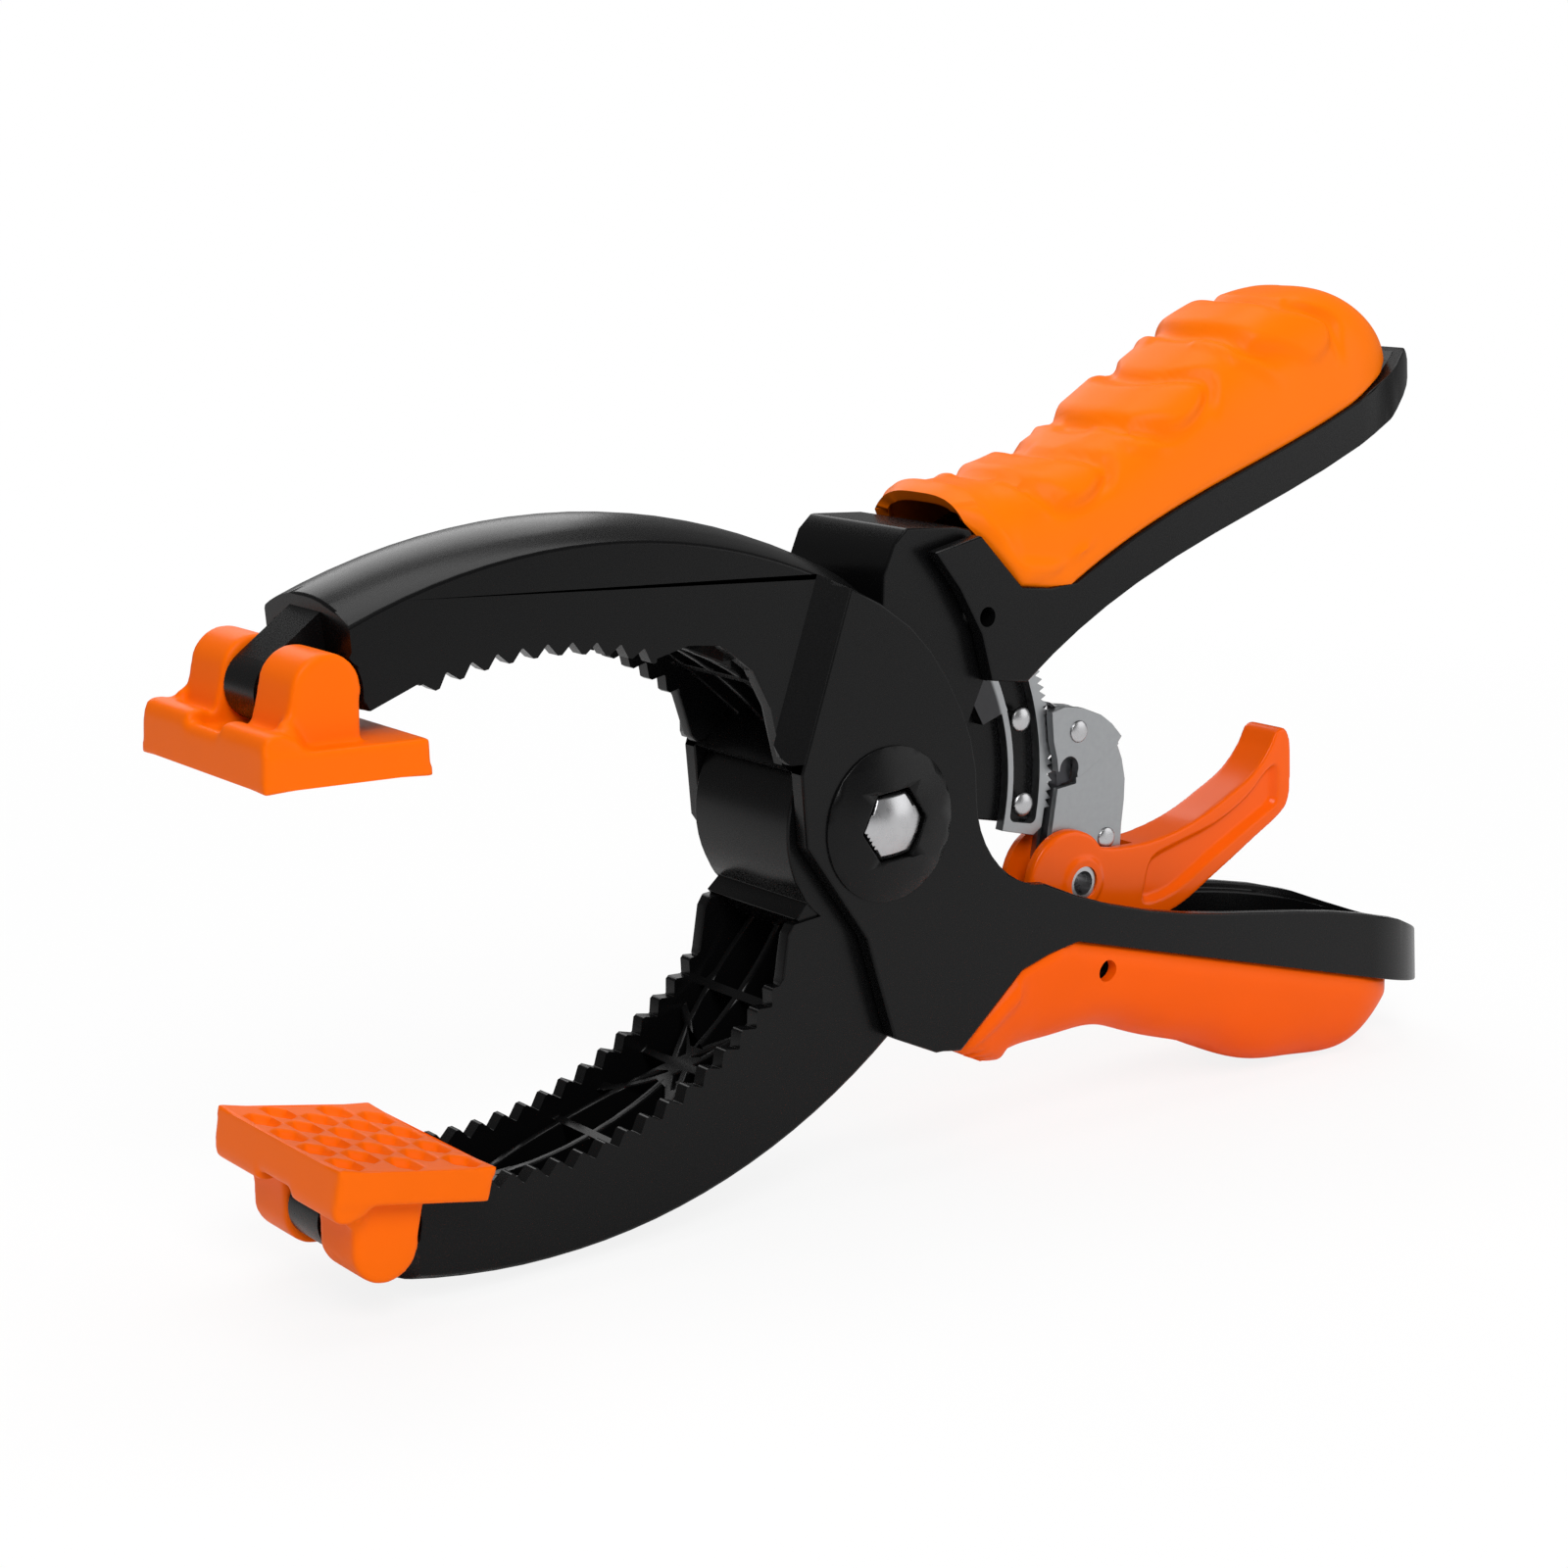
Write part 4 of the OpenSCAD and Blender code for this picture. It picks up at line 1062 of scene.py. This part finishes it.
class CLAMP_OT_trigger(bpy.types.Operator):
    """Model the orange trigger with its sunken sides and the collar round its pin"""

    bl_idname = "clamp.trigger"
    bl_label = "Trigger"

    def execute(self, context):
        piece_from(
            placed(trigger_shape(), STAND), "trigger_moulded", "trigger",
            "orange_plastic", replaces=("trigger",), smooth=50.0,
        )
        return {"FINISHED"}


class CLAMP_OT_levers(bpy.types.Operator):
    """Round the moulded edges of the two black levers"""

    bl_idname = "clamp.levers"
    bl_label = "Levers"

    def execute(self, context):
        radius = context.scene.clamp_sizes.edge_round
        for name in ("outer_lever", "inner_lever"):
            shape = rounded_copy(name, radius)
            if name == "inner_lever":
                add_web_edge(shape)
            piece_from(
                shape, name + "_body", name, "black_plastic",
                replaces=(name,), smooth=28.0, flat=True,
            )
        return {"FINISHED"}


class CLAMP_OT_pads(bpy.types.Operator):
    """Model the two soft swivel pads"""

    bl_idname = "clamp.pads"
    bl_label = "Swivel pads"

    def execute(self, context):
        low_pin = Vector((PAD_PIN.x, 0.0, -PAD_PIN.z))
        for name, pin, tilt in (
            ("upper_pad", PAD_PIN, UPPER_PAD_TILT),
            ("lower_pad", low_pin, LOWER_PAD_TILT),
        ):
            turn = Matrix.Rotation(math.radians(tilt), 4, "Y")
            place = STAND @ Matrix.Translation(pin) @ turn
            shape = pad_shape()
            if name == "lower_pad":
                turn_over(shape)
            piece_from(
                placed(shape, place), name + "_moulded", name, "orange_pad",
                replaces=(name,), smooth=60.0,
            )
        return {"FINISHED"}


class CLAMP_OT_grips(bpy.types.Operator):
    """Model the two soft grips on the handles"""

    bl_idname = "clamp.grips"
    bl_label = "Grips"

    def execute(self, context):
        upper = thick(grip_sheet(True, upper_relief), GRIP_THICK)
        turn_over(upper)
        slot = bmesh.new()
        first, last = ((place, 0.0) for place in HANG_SLOT_ENDS)
        ends = arc(HANG_SLOT_R, 90, 270, 12, first) + arc(HANG_SLOT_R, -90, 90, 12, last)
        low, high = ([slot.verts.new((x, y, z)) for x, y in ends] for z in HANG_SLOT_HEIGHTS)
        slot.faces.new(reversed(low))
        slot.faces.new(high)
        for i in range(len(ends)):
            j = (i + 1) % len(ends)
            slot.faces.new((low[i], low[j], high[j], high[i]))
        upper = carved(upper, slot)
        piece_from(
            placed(upper, STAND), "upper_grip_moulded", "inner_lever", "orange_grip",
            replaces=("upper_grip",), smooth=50.0,
        )
        lower = thick(grip_sheet(False, lower_relief), GRIP_THICK)
        holes = bmesh.new()
        for side in (-1, 1):
            cheek(holes, circle(GRIP_HOLE_R, 24, GRIP_HOLE), side, 10.0, 20.0)
        lower = carved(lower, holes)
        piece_from(
            placed(lower, STAND), "lower_grip_moulded", "outer_lever", "lower_grip",
            replaces=("lower_grip",), smooth=50.0,
        )
        return {"FINISHED"}


class CLAMP_OT_carried_nodes(bpy.types.Operator):
    """Finish the pieces whose construction shape is shown as it is"""

    bl_idname = "clamp.carried_nodes"
    bl_label = "Carried-over pieces"

    def execute(self, context):
        for name, finish_name in {
            "upper_pad_pin": "steel",
            "lower_pad_pin": "steel",
            "pivot_sleeve": "steel",
            "main_spring": "spring_steel",
            "trigger_pin": "bright_steel",
            "pawl_rear_plate": "steel",
            "pawl": "bright_steel",
            "pawl_leaf_spring": "spring_steel",
            "trigger_spring": "spring_steel",
        }.items():
            dress(name, finish_name)
        return {"FINISHED"}


class CLAMP_OT_stage(bpy.types.Operator):
    """Make the pale floor, the soft lights and the camera"""

    bl_idname = "clamp.stage"
    bl_label = "Stage"

    def execute(self, context):
        make_floor()
        make_lights()
        make_camera()
        context.scene.view_settings.view_transform = "Standard"
        return {"FINISHED"}


class CLAMP_PT_panel(bpy.types.Panel):
    """Lists the steps that build the clamp"""

    bl_idname = "CLAMP_PT_panel"
    bl_label = "Spring clamp"
    bl_space_type = "VIEW_3D"
    bl_region_type = "UI"
    bl_category = "Clamp"

    def draw(self, context):
        for operator in OPERATORS:
            self.layout.operator(operator.bl_idname)


OPERATORS = (
    CLAMP_OT_levers,
    CLAMP_OT_pads,
    CLAMP_OT_grips,
    CLAMP_OT_trigger,
    CLAMP_OT_rivets,
    CLAMP_OT_stamped_edges,
    CLAMP_OT_carried_nodes,
    CLAMP_OT_stage,
)
CLASSES = (ClampSizes, ClampColours, *OPERATORS, CLAMP_PT_panel)


def register():
    for each in CLASSES:
        bpy.utils.register_class(each)
    bpy.types.Scene.clamp_sizes = PointerProperty(type=ClampSizes)
    bpy.types.Scene.clamp_colours = PointerProperty(type=ClampColours)


def unregister():
    del bpy.types.Scene.clamp_colours
    del bpy.types.Scene.clamp_sizes
    for each in reversed(CLASSES):
        bpy.utils.unregister_class(each)


def main():
    register()
    make_finishes(bpy.context.scene.clamp_colours)
    bpy.ops.clamp.levers()
    bpy.ops.clamp.pads()
    bpy.ops.clamp.grips()
    bpy.ops.clamp.trigger()
    bpy.ops.clamp.rivets()
    bpy.ops.clamp.stamped_edges()
    bpy.ops.clamp.carried_nodes()
    bpy.ops.clamp.stage()


if __name__ == "__main__":
    main()
